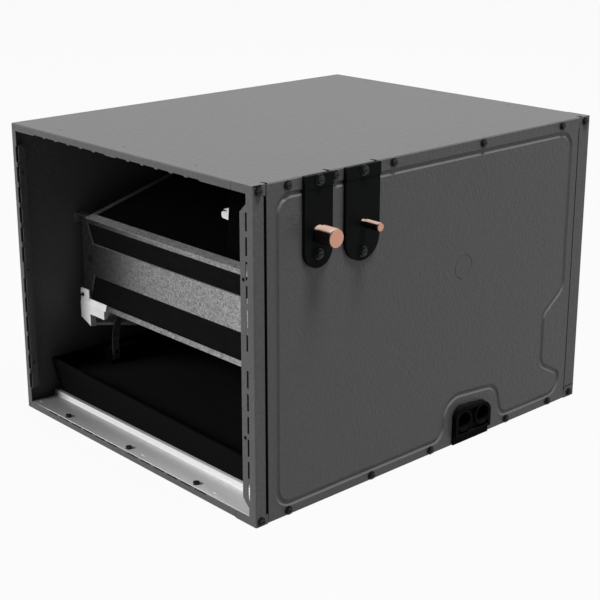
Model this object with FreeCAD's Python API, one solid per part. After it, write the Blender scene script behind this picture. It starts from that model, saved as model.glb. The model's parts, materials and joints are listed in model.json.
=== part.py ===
import FreeCAD, Part
import math
import os

from FreeCAD import Vector

# A cased evaporator coil, laid on its side. All sizes are in millimetres.
# X runs across the casing to the door, Y from the front opening to the rear one, Z up.
# The origin is the middle of the casing's base.

# Casing
casing_width = 538.0
casing_length = 661.0
casing_height = 444.5
sheet = 1.0
bend = 2.0
rim_width = 10.8
duct_depth = 14.5
duct_end_setback = 32.0
duct_corner = 6.0
duct_hole_radius = 2.5
duct_hole_depth = 8.0
duct_hole_from_end = 42.0
door_lap = 11.2
mitre_gap = 0.6
top_hole_radius = 1.7
top_hole_inset = 23.0
top_hole_pitch = 153.75
top_hole_middle = -20.25
hook_slit_length = 12.0
hook_slit_width = 1.2
hook_slit_past_tab = 1.5
hook_slit_in_plate = 4.0

# Tear slots along the fold of every duct flange
slot_length = 23.5
slot_pitch = 30.5
slot_width = 3.4
slot_rim_reach = 2.4
slot_middle_bridge = 25.0

# Corner posts
front_post_side = 16.5
rear_post_side = 25.0
post_tab = 3.5
post_tab_height = 14.0
post_hole_radius = 2.7
post_hole_spread = 103.7
post_fold = 13.4
post_duct_width = 11.6
post_duct_setback = 35.0
post_arm = 41.0
seam = 0.7
tongue_lap = 10.0

# Access door
door_gap = 1.7
door_rear_gap = 0.5
door_edge_gap = 1.0
bead_inset = 18.4
bead_corner = 23.0
bead_half_top = 4.6
bead_half_bottom = 1.8
bead_depth = 2.2
bead_low_drop = 2.5
bead_arch_before = 21.0
bead_arch_past = 17.0
bead_arch_foot = 31.0
bead_arch_left_rise = 18.7
bead_arch_right_rise = 16.5
bead_arch_foot_corner = 18.0
bead_arch_left_corner = 34.0
bead_arch_right_corner = 24.0
bead_foot_rise = 31.5
bead_foot_corner = 14.0
bead_step_in = 45.0
bead_step_low = 55.5
bead_step_high = 135.0
bead_step_top = 168.0
bead_step_corner = 20.0
knockout_front = 384.5
knockout_height = 266.8
knockout_radius = 17.3
knockout_slit = 0.8
knockout_bridge = 5.0

# Drain connection, moulded on the pan and reaching through the door
drain_front = 410.5
drain_width = 77.0
drain_proud = 7.6
drain_left_height = 59.5
drain_right_height = 52.0
drain_corner = 16.0
drain_right_corner = 18.0
drain_pocket_wall = 5.0
drain_pocket_depth = 4.0
drain_lip_height = 12.5
drain_socket_offset = 20.0
drain_socket_height = 35.5
drain_socket_radius = 13.2
drain_socket_wall = 3.0
drain_socket_depth = 24.0
drain_clearance = 0.8
drain_floor_gap = 0.8
drain_lip_proud = 2.6
drain_bore_radius = 8.0
sump_inset = 54.0

# Seal plates round the two copper stubs
stub_height = 369.0
plate_thickness = 4.7
plate_cap_height = 16.5
plate_cap_step = 1.0
plate_edge = 0.8
suction_front = 102.8
suction_plate_width = 48.0
suction_plate_drop = 44.3
suction_screw_drop = 26.0
liquid_front = 179.7
liquid_plate_width = 61.4
liquid_plate_drop = 50.0
liquid_screw_drop = 38.0

# Copper lines
suction_radius = 11.1
suction_swage_radius = 12.4
liquid_radius = 4.76
liquid_swage_radius = 5.9
stub_reach = 36.0
stub_neck = 7.0
stub_edge = 0.8
header_inset = 33.0
header_radius = 12.7
riser_bend = 26.0
liquid_bend = 14.0
metering_run = 20.3
metering_nut = 11.0
metering_nut_length = 11.0
metering_radius = 8.0
metering_length = 30.0
distributor_throat = 6.0
distributor_radius = 8.8
distributor_length = 15.0
feeder_radius = 2.4
feeder_spread = 4.2
feeder_bend = 7.0
feeder_fitting = 9.0
feeder_lead = 5.0
feeder_slope = 60.0
feeder_lane_gap = 27.0
feeder_lane_pitch = 15.0
pipe_clearance = 0.2
pipe_door_clearance = 5.0

# Screws
shank_radius = 2.0
shank_length = 9.0
screw_hole_clearance = 0.1
door_head_radius = 6.2
hex_flange = 1.2
door_hex_radius = 4.6
hex_height = 3.0
plate_head_radius = 7.4
plate_hex_radius = 5.6
screw_slot_width = 1.6
screw_slot_depth = 1.2
screw_inset = 7.0
top_screws_from_front = (55.0, 134.0, 239.0)
top_screws_from_rear = (244.0, 67.0)
bottom_screws_from_front = (55.0, 207.0)
bottom_screws_from_rear = (67.0,)
drain_screw_before = 46.0
drain_screw_past = 44.2

# Coil: two slabs that meet near the front opening and open towards the rear
coil_left_gap = 46.0
coil_right_gap = 69.0
coil_floor_gap = 2.7
coil_front = 101.6
slab_angle = 15.0
slab_length = 400.0
slab_thickness = 44.0
apex_gap = 50.6
galvanised = 1.0
fin_groove_pitch = 14.0
fin_groove_width = 5.0
fin_groove_depth = 1.6
tube_radius = 4.76
tube_pitch = 25.4
tube_row_pitch = 22.0
tube_row_edge = 13.0
tube_sheet_flange = 9.0
angle_top = 14.0
angle_lip = 7.0
apex_ear_width = 27.0
apex_ear_low = 52.0
apex_ear_high = 65.0
apex_right_ear = 20.0
apex_flange = 15.0
apex_head_radius = 6.0
apex_head_height = 1.5
bracket_sheet = 1.2
bracket_drop = 15.0
bracket_depth = 12.0
bracket_clearance = 0.2
bend_leg = 1.5
apex_screw_out = 8.0

# Drain pan
pan_side_gap = 11.5
pan_front = 39.2
pan_rim_height = 73.7
pan_rim_fall = 12.7
pan_wall = 3.0
pan_draft = 9.0
pan_floor_left = 51.0
pan_floor_right = 38.0
pan_channel_width = 28.0
pan_channel_drop = 13.0
pan_channel_left = 36.0
pan_rib_front = 205.0
pan_rib_height = 2.0
pan_rib_width = 3.0
pan_rest_width = 5.0
pan_rest_inset = 6.0
pan_rest_gap = 0.2
pan_notch_inset = 6.0
pan_notch_width = 10.0
pan_notch_reach = 9.0
pan_notch_height = 31.0

# Rails under the pan
rail_end_gap = 12.0
rail_flat_start = 1.4
rail_flat_end = 42.0
rail_top = 20.8
rail_shelf = 20.0
rail_screw_pitch = 153.0
rail_screw_middle = -16.0
rail_screw_front = 8.5
rail_head_radius = 4.4
rail_head_height = 3.2
rail_shank = 6.0
rear_rail_width = 45.0
rear_rail_end_gap = 26.0
rear_rail_foot = 10.0
rear_rail_lap = 2.0

# Small parts inside
baffle_clearance = 0.2
baffle_rim_back = 1.0
baffle_flange = 15.0
baffle_window_inset = 8.0
piping_baffle_setback = 18.4
piping_baffle_inset = 195.0
piping_baffle_lean = 12.0
clip_overhang = 12.0
clip_width = 28.0
clip_above_slab = 34.5
clip_tall = 14.0
clip_depth = 19.0
clip_wall = 2.0
clip_taper = 2.6
clip_round = 4.2
clip_tab_rise = 5.4
clip_tab_gap = 1.0
clip_tab_depth = 9.0
gutter_gap = 26.0
gutter_wall = 2.0
gutter_ahead = 14.0
gutter_below_apex = 68.5
gutter_flange = 9.0
gutter_flap_drop = 14.5
gutter_wall_drop = 23.8
gutter_drop = 33.6
gutter_slope = 13.5
gutter_length = 196.0
gutter_width = 25.0
gutter_cheek = 10.0
gutter_flap = 62.0
gutter_lip = 4.5
gutter_bend = 3.0
hook_width = 22.0
hook_height = 23.0
hook_eye_radius = 3.8
hook_eye_in = 5.5
hook_eye_up = 13.0
strap_width = 13.0
strap_thickness = 1.2
strap_radius = 105.0
strap_angle = 39.0
strap_foot = 58.0
strap_setback = 25.4
support_block_length = 51.0
support_block_width = 29.0
support_block_before = 3.0
support_block_top = 75.0
support_block_gap = 19.0
support_block_edge = 1.5
strap_screw_height = 69.5
strap_head_radius = 3.6
strap_head_height = 2.4
strap_shank_length = 8.0

right_x = casing_width / 2
left_x = -casing_width / 2
front_y = -casing_length / 2
rear_y = casing_length / 2
arm_x = right_x - post_arm
flange_x = right_x - sheet
duct_fold_x = right_x - post_fold
door_y0 = front_y + front_post_side + door_gap
door_y1 = rear_y - rear_post_side - door_rear_gap
coil_left = left_x + coil_left_gap
coil_right = right_x - coil_right_gap
slab_rise = (slab_length * math.sin(math.radians(slab_angle))
             + (slab_thickness + galvanised) * math.cos(math.radians(slab_angle)))
coil_height = pan_floor_left + coil_floor_gap + apex_gap / 2 + slab_rise
header_x = right_x - header_inset
tubes_per_row = int((slab_length - tube_pitch / 2 - 2 * tube_row_edge) / tube_pitch) + 1
circuit_tubes = 2 * (tubes_per_row // 4) + 1
sump_left = right_x - sump_inset
metering_front = liquid_front + metering_run
distributor_end = metering_front + metering_length + distributor_length
piping_baffle_front = coil_front + piping_baffle_setback
piping_baffle_left = right_x - piping_baffle_inset
clip_left = piping_baffle_left - clip_overhang
gutter_left = left_x + gutter_gap
gutter_right = gutter_left + gutter_width
gutter_front = coil_front - gutter_ahead
gutter_top = coil_height - gutter_below_apex
gutter_flap_low = gutter_top - gutter_flap_drop
gutter_knee = gutter_top - gutter_wall_drop
gutter_keel = gutter_top - gutter_drop
support_block_left = left_x + support_block_gap
strap_front = coil_front + strap_setback
support_block_front = strap_front - support_block_before


def box(x0, x1, y0, y1, z0, z1):
    """A box between two corners."""
    return Part.makeBox(x1 - x0, y1 - y0, z1 - z0, Vector(x0, y0, z0))


def rod(start, direction, radius, length):
    """A round bar from a start point."""
    return Part.makeCylinder(radius, length, start, direction)


def fused(shapes):
    """Several touching solids made one."""
    whole = shapes[0]
    if len(shapes) > 1:
        whole = shapes[0].multiFuse(shapes[1:])
    return whole.removeSplitter()


def less(shape, cutters):
    """A solid with cutters taken out of it."""
    if not cutters:
        return shape
    return shape.cut(Part.makeCompound(cutters)).removeSplitter()


def mirrored_y(shape):
    """The same shape at the other opening."""
    return shape.mirror(Vector(0, 0, 0), Vector(0, 1, 0))


def rounded_edges(points, radii, closed=True):
    """Straight edges through the points, each corner rounded to its own radius."""
    count = len(points)
    starts = []
    ends = []
    arcs = []
    for index, point in enumerate(points):
        radius = radii[index]
        is_end = not closed and index in (0, count - 1)
        if radius <= 0 or is_end:
            starts.append(point)
            ends.append(point)
            arcs.append(None)
            continue
        into = (points[index - 1] - point).normalize()
        out = (points[(index + 1) % count] - point).normalize()
        half = into.getAngle(out) / 2
        reach = radius / math.tan(half)
        middle = (into + out).normalize()
        centre = point + middle * (radius / math.sin(half))
        starts.append(point + into * reach)
        ends.append(point + out * reach)
        arcs.append(centre - middle * radius)
    edges = []
    for index in range(count):
        if arcs[index] is not None:
            edges.append(Part.Arc(starts[index], arcs[index], ends[index]).toShape())
        if index == count - 1 and not closed:
            break
        following = starts[(index + 1) % count]
        if (following - ends[index]).Length > 1e-6:
            edges.append(Part.LineSegment(ends[index], following).toShape())
    return edges


def prism(points, radii, direction):
    """A flat outline with rounded corners, pushed along a direction."""
    wire = Part.Wire(rounded_edges(points, radii))
    return Part.Face(wire).extrude(direction)


def folded_strip(points, thickness, radius, direction):
    """A strip of sheet folded along a centre line and pushed along a direction.

    The points lie in a plane across the direction, and each inner corner has the bend radius.
    """
    normal = Vector(direction).normalize()
    sides = []
    for offset in (thickness / 2, -thickness / 2):
        side = []
        for index, point in enumerate(points):
            before = (point - points[index - 1]).normalize() if index > 0 else None
            after = (points[index + 1] - point).normalize() if index < len(points) - 1 else None
            if before is None or after is None:
                along = after if before is None else before
                side.append((point + normal.cross(along) * offset, 0.0))
                continue
            turn = before.cross(after).dot(normal)
            bisector = (normal.cross(before) + normal.cross(after)).normalize()
            stretch = offset / bisector.dot(normal.cross(before))
            outer = turn * offset < 0
            side.append((point + bisector * stretch, radius + thickness if outer else radius))
        sides.append(side)
    outline = sides[0] + sides[1][::-1]
    return prism([entry[0] for entry in outline], [entry[1] for entry in outline], direction)


def yz(front, height, x=0.0):
    """A point given by its distance from the front opening and its height."""
    return Vector(x, front_y + front, height)


def slot_places(middle, span):
    """Middles of the tear slots that fit in a span, in two groups about its middle."""
    per_group = int((span / 2 - slot_middle_bridge / 2 + slot_pitch - slot_length) / slot_pitch)
    first = slot_middle_bridge / 2 + slot_length / 2
    places = []
    for index in range(per_group):
        places.append(middle - first - index * slot_pitch)
        places.append(middle + first + index * slot_pitch)
    return places


def rim_slot_cutters():
    """Cutters for the tear slots at the front fold of the left, top and bottom duct flanges."""
    cutters = []
    half = slot_length / 2
    y0 = front_y - sheet
    y1 = front_y + slot_width
    fold = left_x + rim_width
    for z in slot_places(casing_height / 2, casing_height - 2 * duct_end_setback):
        cutters.append(box(fold - slot_rim_reach, fold + sheet, y0, y1, z - half, z + half))
    across = arm_x - left_x
    for x in slot_places((arm_x + left_x) / 2, across - 2 * duct_end_setback):
        for z in (rim_width, casing_height - rim_width):
            cutters.append(box(x - half, x + half, y0, y1, z - slot_width / 2, z + slot_width / 2))
    return cutters


def duct_flanges():
    """The folded-in duct flanges of the front opening."""
    pieces = []
    fold = left_x + rim_width
    side = box(fold - sheet, fold, front_y, front_y + duct_depth, duct_end_setback,
               casing_height - duct_end_setback)
    across = box(left_x + duct_end_setback, arm_x - seam, front_y, front_y + duct_depth,
                 rim_width - sheet, rim_width)
    for piece, axis in ((side, 0), (across, 2)):
        corners = []
        for edge in piece.Edges:
            ends = [vertex.Point for vertex in edge.Vertexes]
            inner = all(abs(point.y - front_y - duct_depth) < 1e-6 for point in ends)
            if inner and abs(ends[0][axis] - ends[1][axis]) > 1e-6 and edge.Length < 2 * sheet:
                corners.append(edge)
        pieces.append(piece.makeFillet(duct_corner, corners))
    pieces.append(pieces[1].mirror(Vector(0, 0, casing_height / 2), Vector(0, 0, 1)))
    holes = []
    hole_y = front_y + duct_hole_depth
    for z in (duct_end_setback + duct_hole_from_end, casing_height / 2,
              casing_height - duct_end_setback - duct_hole_from_end):
        holes.append(rod(Vector(fold - 2 * sheet, hole_y, z), Vector(1, 0, 0), duct_hole_radius, 4 * sheet))
    pieces[0] = less(pieces[0], holes)
    return pieces


def mitre_cutters():
    """Thin slits at the two left corners of the front rim, where its flanges meet."""
    cutters = []
    reach = rim_width * math.sqrt(2) + mitre_gap
    for corner_z, turn in ((0.0, 45.0), (casing_height, -45.0)):
        slit = box(bend, reach, -sheet, 1.5 * sheet, -mitre_gap / 2, mitre_gap / 2)
        slit.rotate(Vector(0, 0, 0), Vector(0, 1, 0), -turn)
        slit.translate(Vector(left_x, front_y, corner_z))
        cutters.append(slit)
    return cutters


def top_screw_fronts():
    """Distances from the front of the screws along the door's top edge."""
    return list(top_screws_from_front) + [casing_length - back for back in top_screws_from_rear]


def bottom_screw_fronts():
    """Distances from the front of the screws along the door's bottom edge."""
    beside_drain = [drain_front - drain_width / 2 - drain_screw_before,
                    drain_front + drain_width / 2 + drain_screw_past]
    rear = [casing_length - back for back in bottom_screws_from_rear]
    return list(bottom_screws_from_front) + beside_drain + rear


def door_screw_points():
    """Where the door's screws seat on the door's face."""
    points = [yz(front, casing_height - screw_inset, right_x) for front in top_screw_fronts()]
    return points + [yz(front, screw_inset, right_x) for front in bottom_screw_fronts()]


def post_screw_points():
    """Where the screws of the two posts seat."""
    points = []
    for z in (screw_inset, casing_height - screw_inset):
        points.append(yz(front_post_side / 2, z, right_x))
        points.append(yz(casing_length - rear_post_side / 2, z, right_x))
    return points


def plate_top_screw_points():
    """Where the upper screws of the two seal plates seat."""
    seat = right_x + plate_thickness + plate_cap_step
    return [yz(front, casing_height - screw_inset, seat) for front in (suction_front, liquid_front)]


def plate_low_screw_points():
    """Where the lower screws of the two seal plates seat."""
    seat = right_x + plate_thickness
    return [yz(suction_front, stub_height - suction_screw_drop, seat),
            yz(liquid_front, stub_height - liquid_screw_drop, seat)]


def shank_holes(points):
    """Clearance holes for screws that come in from the door side."""
    radius = shank_radius + screw_hole_clearance
    holes = []
    for point in points:
        start = Vector(right_x - 3 * sheet, point.y, point.z)
        holes.append(rod(start, Vector(1, 0, 0), radius, 4 * sheet + plate_thickness + plate_cap_step))
    return holes


def casing_wrap():
    """The folded sheet that makes the top, left wall and bottom, with its rims and flanges."""
    outer = box(left_x, flange_x, front_y, rear_y, 0, casing_height)
    outer = outer.makeFillet(bend, outer.Edges)
    inner = box(left_x + sheet, flange_x - sheet, front_y + sheet, rear_y - sheet,
                sheet, casing_height - sheet)
    inner = inner.makeFillet(bend - sheet, inner.Edges)
    cutters = [inner]
    cutters.append(box(left_x + rim_width, arm_x, front_y - 1, rear_y + 1,
                       rim_width, casing_height - rim_width))
    cutters.append(box(flange_x - bend - 1, right_x + 1, front_y - 1, rear_y + 1,
                       door_lap, casing_height - door_lap))
    for y0, y1 in ((front_y - 1, front_y + sheet), (rear_y - sheet, rear_y + 1)):
        cutters.append(box(arm_x, right_x + 1, y0, y1, -1, casing_height + 1))
    shell = less(outer, cutters)
    tongue_x0 = arm_x - tongue_lap
    tongue_x1 = duct_fold_x - sheet
    pieces = [shell]
    for z0, z1 in ((sheet / 2, rim_width - sheet),
                   (casing_height - rim_width + sheet, casing_height - sheet / 2)):
        tongue = box(tongue_x0, tongue_x1, front_y + sheet, front_y + 2 * sheet, z0, z1)
        pieces += [tongue, mirrored_y(tongue)]
    for flange in duct_flanges():
        pieces += [flange, mirrored_y(flange)]
    whole = fused(pieces)
    slots = rim_slot_cutters() + mitre_cutters()
    slots += [mirrored_y(cutter) for cutter in slots]
    slots += shank_holes(door_screw_points() + post_screw_points() + plate_top_screw_points())
    for x in (-top_hole_pitch, 0.0, top_hole_pitch):
        for y in (front_y + top_hole_inset, rear_y - top_hole_inset):
            start = Vector(top_hole_middle + x, y, casing_height - 2 * sheet)
            slots.append(rod(start, Vector(0, 0, 1), top_hole_radius, 4 * sheet))
    past_tab = post_tab + hook_slit_past_tab
    slit_places = (front_post_side + past_tab, suction_front + suction_plate_width / 2 - hook_slit_in_plate,
                   liquid_front + liquid_plate_width / 2 - hook_slit_in_plate,
                   casing_length - rear_post_side + past_tab)
    for front in slit_places:
        y = front_y + front
        slots.append(box(flange_x - hook_slit_length, right_x, y, y + hook_slit_width,
                         casing_height - bend, casing_height + 1))
    for seat in rail_screw_points():
        slots.append(rod(seat - Vector(0, 0, 3 * sheet), Vector(0, 0, 1),
                         shank_radius + screw_hole_clearance, 4 * sheet))
    return less(whole, slots)


def corner_post(side_width, tab):
    """A folded post for the front right edge, with arms that lap the rim's ends."""
    x0 = right_x - sheet
    y1 = front_y + side_width
    side = box(x0, right_x, front_y, y1, 0, casing_height)
    face = box(duct_fold_x, right_x, front_y, front_y + sheet, 0, casing_height)
    pieces = [side, face]
    for z0, z1 in ((0, post_tab_height), (casing_height - post_tab_height, casing_height)):
        pieces.append(box(x0, right_x, front_y, y1 + tab, z0, z1))
    for z0, z1 in ((0, rim_width), (casing_height - rim_width, casing_height)):
        pieces.append(box(arm_x + seam, right_x, front_y, front_y + sheet, z0, z1))
    inner = duct_fold_x - post_duct_width
    low = post_duct_setback
    high = casing_height - post_duct_setback
    corners = [Vector(duct_fold_x, front_y, low - post_duct_width), Vector(inner, front_y, low),
               Vector(inner, front_y, high), Vector(duct_fold_x, front_y, high + post_duct_width)]
    pieces.append(prism(corners, [0] * 4, Vector(0, sheet, 0)))
    post = fused(pieces)
    outer_edges = []
    for edge in post.Edges:
        ends = [vertex.Point for vertex in edge.Vertexes]
        if len(ends) == 2 and all(abs(p.x - right_x) < 1e-6 and abs(p.y - front_y) < 1e-6 for p in ends):
            outer_edges.append(edge)
    post = post.makeFillet(bend, outer_edges)
    cutters = []
    half = slot_length / 2
    for z in slot_places(casing_height / 2, casing_height - 2 * duct_end_setback):
        cutters.append(box(duct_fold_x - slot_width / 2, duct_fold_x + slot_width / 2,
                           front_y - 1, front_y + 2 * sheet, z - half, z + half))
    for z in (casing_height / 2 - post_hole_spread, casing_height / 2 + post_hole_spread):
        cutters.append(rod(Vector(duct_fold_x - post_duct_width / 2, front_y - sheet, z),
                           Vector(0, 1, 0), post_hole_radius, 4 * sheet))
    cutters += shank_holes([yz(side_width / 2, z, right_x)
                            for z in (screw_inset, casing_height - screw_inset)])
    return less(post, cutters)


def bead_outline():
    """Corner points and radii of the bead's middle line on the door."""
    near = door_y0 + bead_inset
    far = door_y1 - bead_inset
    low = door_edge_gap + bead_inset - bead_low_drop
    high = casing_height - door_edge_gap - bead_inset
    arch_near = front_y + drain_front - drain_width / 2
    arch_far = front_y + drain_front + drain_width / 2
    step_in = far - bead_step_in
    corners = [
        (near, high, bead_corner),
        (near, low, bead_corner),
        (arch_near - bead_arch_before, low, bead_arch_foot_corner),
        (arch_near - bead_arch_before, drain_left_height + bead_arch_left_rise, bead_arch_left_corner),
        (arch_far + bead_arch_past, drain_right_height + bead_arch_right_rise, bead_arch_right_corner),
        (arch_far + bead_arch_foot, low, bead_arch_foot_corner),
        (far, low, bead_corner),
        (far, low + bead_foot_rise, bead_foot_corner),
        (step_in, low + bead_step_low, bead_step_corner),
        (step_in, low + bead_step_high, bead_step_corner),
        (far, low + bead_step_top, bead_step_corner),
        (far, high, bead_corner),
    ]
    points = [Vector(0, y, z) for y, z, radius in corners]
    return points, [radius for y, z, radius in corners]


def bead_solid(outer_x, half_top, half_bottom, inner_x):
    """The bead's middle line swept with a tapered section between two depths."""
    points, radii = bead_outline()
    edges = rounded_edges(points, radii)
    path = Part.Wire(edges)
    anchor = edges[0].valueAt(edges[0].FirstParameter)
    along = edges[0].tangentAt(edges[0].FirstParameter)
    across = along.cross(Vector(1, 0, 0))
    section = []
    for x, half in ((outer_x, half_top), (outer_x, -half_top),
                    (inner_x, -half_bottom), (inner_x, half_bottom)):
        section.append(anchor + across * half + Vector(x, 0, 0))
    profile = Part.makePolygon(section + [section[0]])
    sweep = Part.BRepOffsetAPI.MakePipeShell(path)
    sweep.setBiNormalMode(Vector(1, 0, 0))
    sweep.add(profile)
    sweep.build()
    sweep.makeSolid()
    return sweep.shape()


def drain_outline(grow, x, bottom):
    """Corner points and radii of the arch round the drain sockets."""
    near = front_y + drain_front - drain_width / 2 - grow
    far = front_y + drain_front + drain_width / 2 + grow
    points = [Vector(x, near, bottom), Vector(x, near, drain_left_height + grow),
              Vector(x, far, drain_right_height + grow), Vector(x, far, bottom)]
    return points, [0.0, drain_corner + grow, drain_right_corner + grow, 0.0]


def drain_prism(grow, x0, x1, bottom):
    """The drain arch as a solid between two depths."""
    points, radii = drain_outline(grow, x0, bottom)
    return prism(points, radii, Vector(x1 - x0, 0, 0))


def access_door():
    """The service panel on the right, with its pressed bead and openings."""
    panel = box(flange_x, right_x, door_y0, door_y1, door_edge_gap, casing_height - door_edge_gap)
    rib = bead_solid(flange_x + sheet / 2, bead_half_top + sheet / 2, bead_half_bottom + sheet / 2,
                     flange_x - bead_depth)
    groove = bead_solid(right_x + sheet / 2, bead_half_top + sheet / 4, bead_half_bottom,
                        right_x - bead_depth)
    panel = panel.fuse(rib)
    cutters = [groove]
    hole_x = flange_x - 2 * sheet
    for front, radius in ((suction_front, suction_radius), (liquid_front, liquid_radius)):
        cutters.append(rod(yz(front, stub_height, hole_x), Vector(1, 0, 0),
                           radius + pipe_door_clearance, 6 * sheet))
    cutters.append(drain_prism(drain_clearance, flange_x - 4 * sheet, right_x + 4 * sheet, -1))
    centre = yz(knockout_front, knockout_height, hole_x)
    ring = rod(centre, Vector(1, 0, 0), knockout_radius + knockout_slit / 2, 6 * sheet)
    ring = ring.cut(rod(centre, Vector(1, 0, 0), knockout_radius - knockout_slit / 2, 6 * sheet))
    ring = ring.cut(box(hole_x - 1, right_x + 6 * sheet, centre.y - knockout_bridge / 2,
                        centre.y + knockout_bridge / 2, centre.z - 2 * knockout_radius,
                        centre.z + 2 * knockout_radius))
    cutters.append(ring)
    cutters += shank_holes(door_screw_points() + plate_top_screw_points() + plate_low_screw_points())
    notch_y = front_y + front_post_side + post_tab + seam
    notch = post_tab_height + seam
    cutters.append(box(flange_x - sheet, right_x + sheet, front_y, notch_y, 0, notch))
    cutters.append(box(flange_x - sheet, right_x + sheet, front_y, notch_y,
                       casing_height - notch, casing_height))
    return less(panel, cutters)


def seal_plate(front, width, drop, pipe_radius, screw_drop):
    """A moulded plate that closes the door round one stub."""
    y0 = front_y + front - width / 2
    y1 = y0 + width
    bottom_centre = stub_height - drop + width / 2
    body = box(right_x, right_x + plate_thickness, y0, y1, bottom_centre, casing_height)
    tongue = rod(Vector(right_x, front_y + front, bottom_centre), Vector(1, 0, 0), width / 2,
                 plate_thickness)
    cap = box(right_x, right_x + plate_thickness + plate_cap_step, y0, y1,
              casing_height - plate_cap_height, casing_height)
    plate = fused([body, tongue, cap])
    face_edges = []
    for edge in plate.Edges:
        if all(vertex.Point.x > right_x + plate_thickness - 0.1 for vertex in edge.Vertexes):
            if edge.CenterOfMass.z < casing_height - plate_cap_height - 1:
                face_edges.append(edge)
    plate = plate.makeFillet(plate_edge, face_edges)
    cutters = [rod(yz(front, stub_height, right_x - 1), Vector(1, 0, 0),
                   pipe_radius + pipe_clearance, plate_thickness + 2)]
    cutters += shank_holes([yz(front, stub_height - screw_drop, right_x),
                            yz(front, casing_height - screw_inset, right_x)])
    return less(plate, cutters)


def hex_screw(seat, head_radius, hex_radius):
    """A washer-head screw with a slotted hexagon, seated on the door side."""
    top = hex_flange + hex_height
    washer = rod(Vector(0, 0, 0), Vector(1, 0, 0), head_radius, hex_flange)
    corners = []
    for index in range(6):
        angle = math.radians(60 * index)
        corners.append(Vector(0, math.cos(angle), math.sin(angle)) * hex_radius)
    hexagon = prism(corners, [0] * 6, Vector(top, 0, 0))
    shank = rod(Vector(-shank_length, 0, 0), Vector(1, 0, 0), shank_radius, shank_length)
    half = screw_slot_width / 2
    slot = box(top - screw_slot_depth, top + screw_slot_depth, -half, half, -hex_radius, hex_radius)
    body = less(fused([washer, hexagon, shank]), [slot])
    body.translate(seat)
    return body


def screw_group(points, head_radius, hex_radius):
    """Like screws as separate solids."""
    return Part.makeCompound([hex_screw(point, head_radius, hex_radius) for point in points])


def upper_place(shape):
    """Put a piece drawn flat along +Y onto the upper slab's slope."""
    placed = shape.copy()
    placed.rotate(Vector(0, 0, 0), Vector(1, 0, 0), slab_angle)
    placed.translate(Vector(0, front_y + coil_front, coil_height + apex_gap / 2))
    return placed


def lower_place(shape):
    """Put the same piece onto the lower slab, which mirrors the upper one."""
    return upper_place(shape).mirror(Vector(0, 0, coil_height), Vector(0, 0, 1))


def fin_pack():
    """One slab of fins, with grooves that stand for the gaps between bundles of fins."""
    x0 = coil_left + galvanised
    x1 = coil_right - galvanised
    block = box(x0, x1, 0, slab_length, 0, slab_thickness)
    count = int((x1 - x0 - fin_groove_pitch) / fin_groove_pitch)
    first = (x0 + x1) / 2 - (count - 1) * fin_groove_pitch / 2
    grooves = []
    for index in range(count):
        x = first + index * fin_groove_pitch - fin_groove_width / 2
        band = box(x, x + fin_groove_width, -1, slab_length + 1, -1, slab_thickness + 1)
        core = box(x - 1, x + fin_groove_width + 1, fin_groove_depth, slab_length - fin_groove_depth,
                   fin_groove_depth, slab_thickness - fin_groove_depth)
        grooves.append(band.cut(core))
    return block.cut(Part.makeCompound(grooves))


def tube_sheet(x_outer, inward):
    """A galvanised end plate with a flange folded over the fins' outer face."""
    x_inner = x_outer + inward * galvanised
    flange_tip = x_outer + inward * (galvanised + tube_sheet_flange)
    low_x, high_x = sorted((x_outer, x_inner))
    plate = box(low_x, high_x, 0, slab_length, 0, slab_thickness)
    low_x, high_x = sorted((x_outer, flange_tip))
    top = slab_thickness
    flange = box(low_x, high_x, angle_top, slab_length, top, top + galvanised)
    whole = fused([plate, flange])
    holes = []
    start = x_outer - inward * galvanised
    for place in tube_places()[0] + tube_places()[1]:
        holes.append(rod(place + Vector(start, 0, 0), Vector(inward, 0, 0),
                         tube_radius + pipe_clearance / 2, 3 * galvanised))
    return less(whole, holes)


def tube_places():
    """The inner and outer rows of tubes, as distances along and through the slab."""
    first = (slab_length - (tubes_per_row - 1) * tube_pitch) / 2
    rows = []
    for side in (-1, 1):
        row = []
        for index in range(tubes_per_row):
            along = first + index * tube_pitch + side * tube_pitch / 4
            row.append(Vector(0, along, (slab_thickness + side * tube_row_pitch) / 2))
        rows.append(row)
    return rows


def bent_rod(points, bend_radius, radius):
    """A round bar through the points, each corner bent as far as half the runs beside it allow."""
    pieces = []
    start = points[0]
    last = len(points) - 1
    for index in range(1, last):
        corner = points[index]
        into = points[index - 1] - corner
        out = points[index + 1] - corner
        room_before = into.Length if index == 1 else into.Length / 2
        room_after = out.Length if index == last - 1 else out.Length / 2
        into.normalize()
        out.normalize()
        turn = math.pi - into.getAngle(out)
        if turn < 1e-6:
            continue
        reach = min(bend_radius * math.tan(turn / 2), room_before, room_after)
        bend_start = corner + into * reach
        if (bend_start - start).Length > 1e-6:
            pieces.append(rod(start, bend_start - start, radius, (bend_start - start).Length))
        centre = bend_start + (out + into * math.cos(turn)).normalize() * (reach / math.tan(turn / 2))
        circle = Part.Face(Part.Wire(Part.Circle(bend_start, into, radius).toShape()))
        axis = (bend_start - centre).cross(into * -1)
        pieces.append(circle.revolve(centre, axis, math.degrees(turn)))
        start = corner + out * reach
    if (points[-1] - start).Length > 1e-6:
        pieces.append(rod(start, points[-1] - start, radius, (points[-1] - start).Length))
    return fused(pieces)


def u_bend(first, second, x, outward):
    """A bent tube that joins two tube ends beyond an end plate."""
    half = (second - first) * 0.5
    reach = Vector(outward * (galvanised + bend_leg + half.Length), 0, 0)
    start = first + Vector(x, 0, 0)
    end = second + Vector(x, 0, 0)
    return bent_rod([start, start + reach, end + reach, end], half.Length, tube_radius)


def left_hairpins():
    """The hairpin ends at the left, each joining the two rows."""
    inner, outer = tube_places()
    return Part.makeCompound([u_bend(first, second, coil_left + galvanised, -1)
                              for first, second in zip(inner, outer)])


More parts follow.
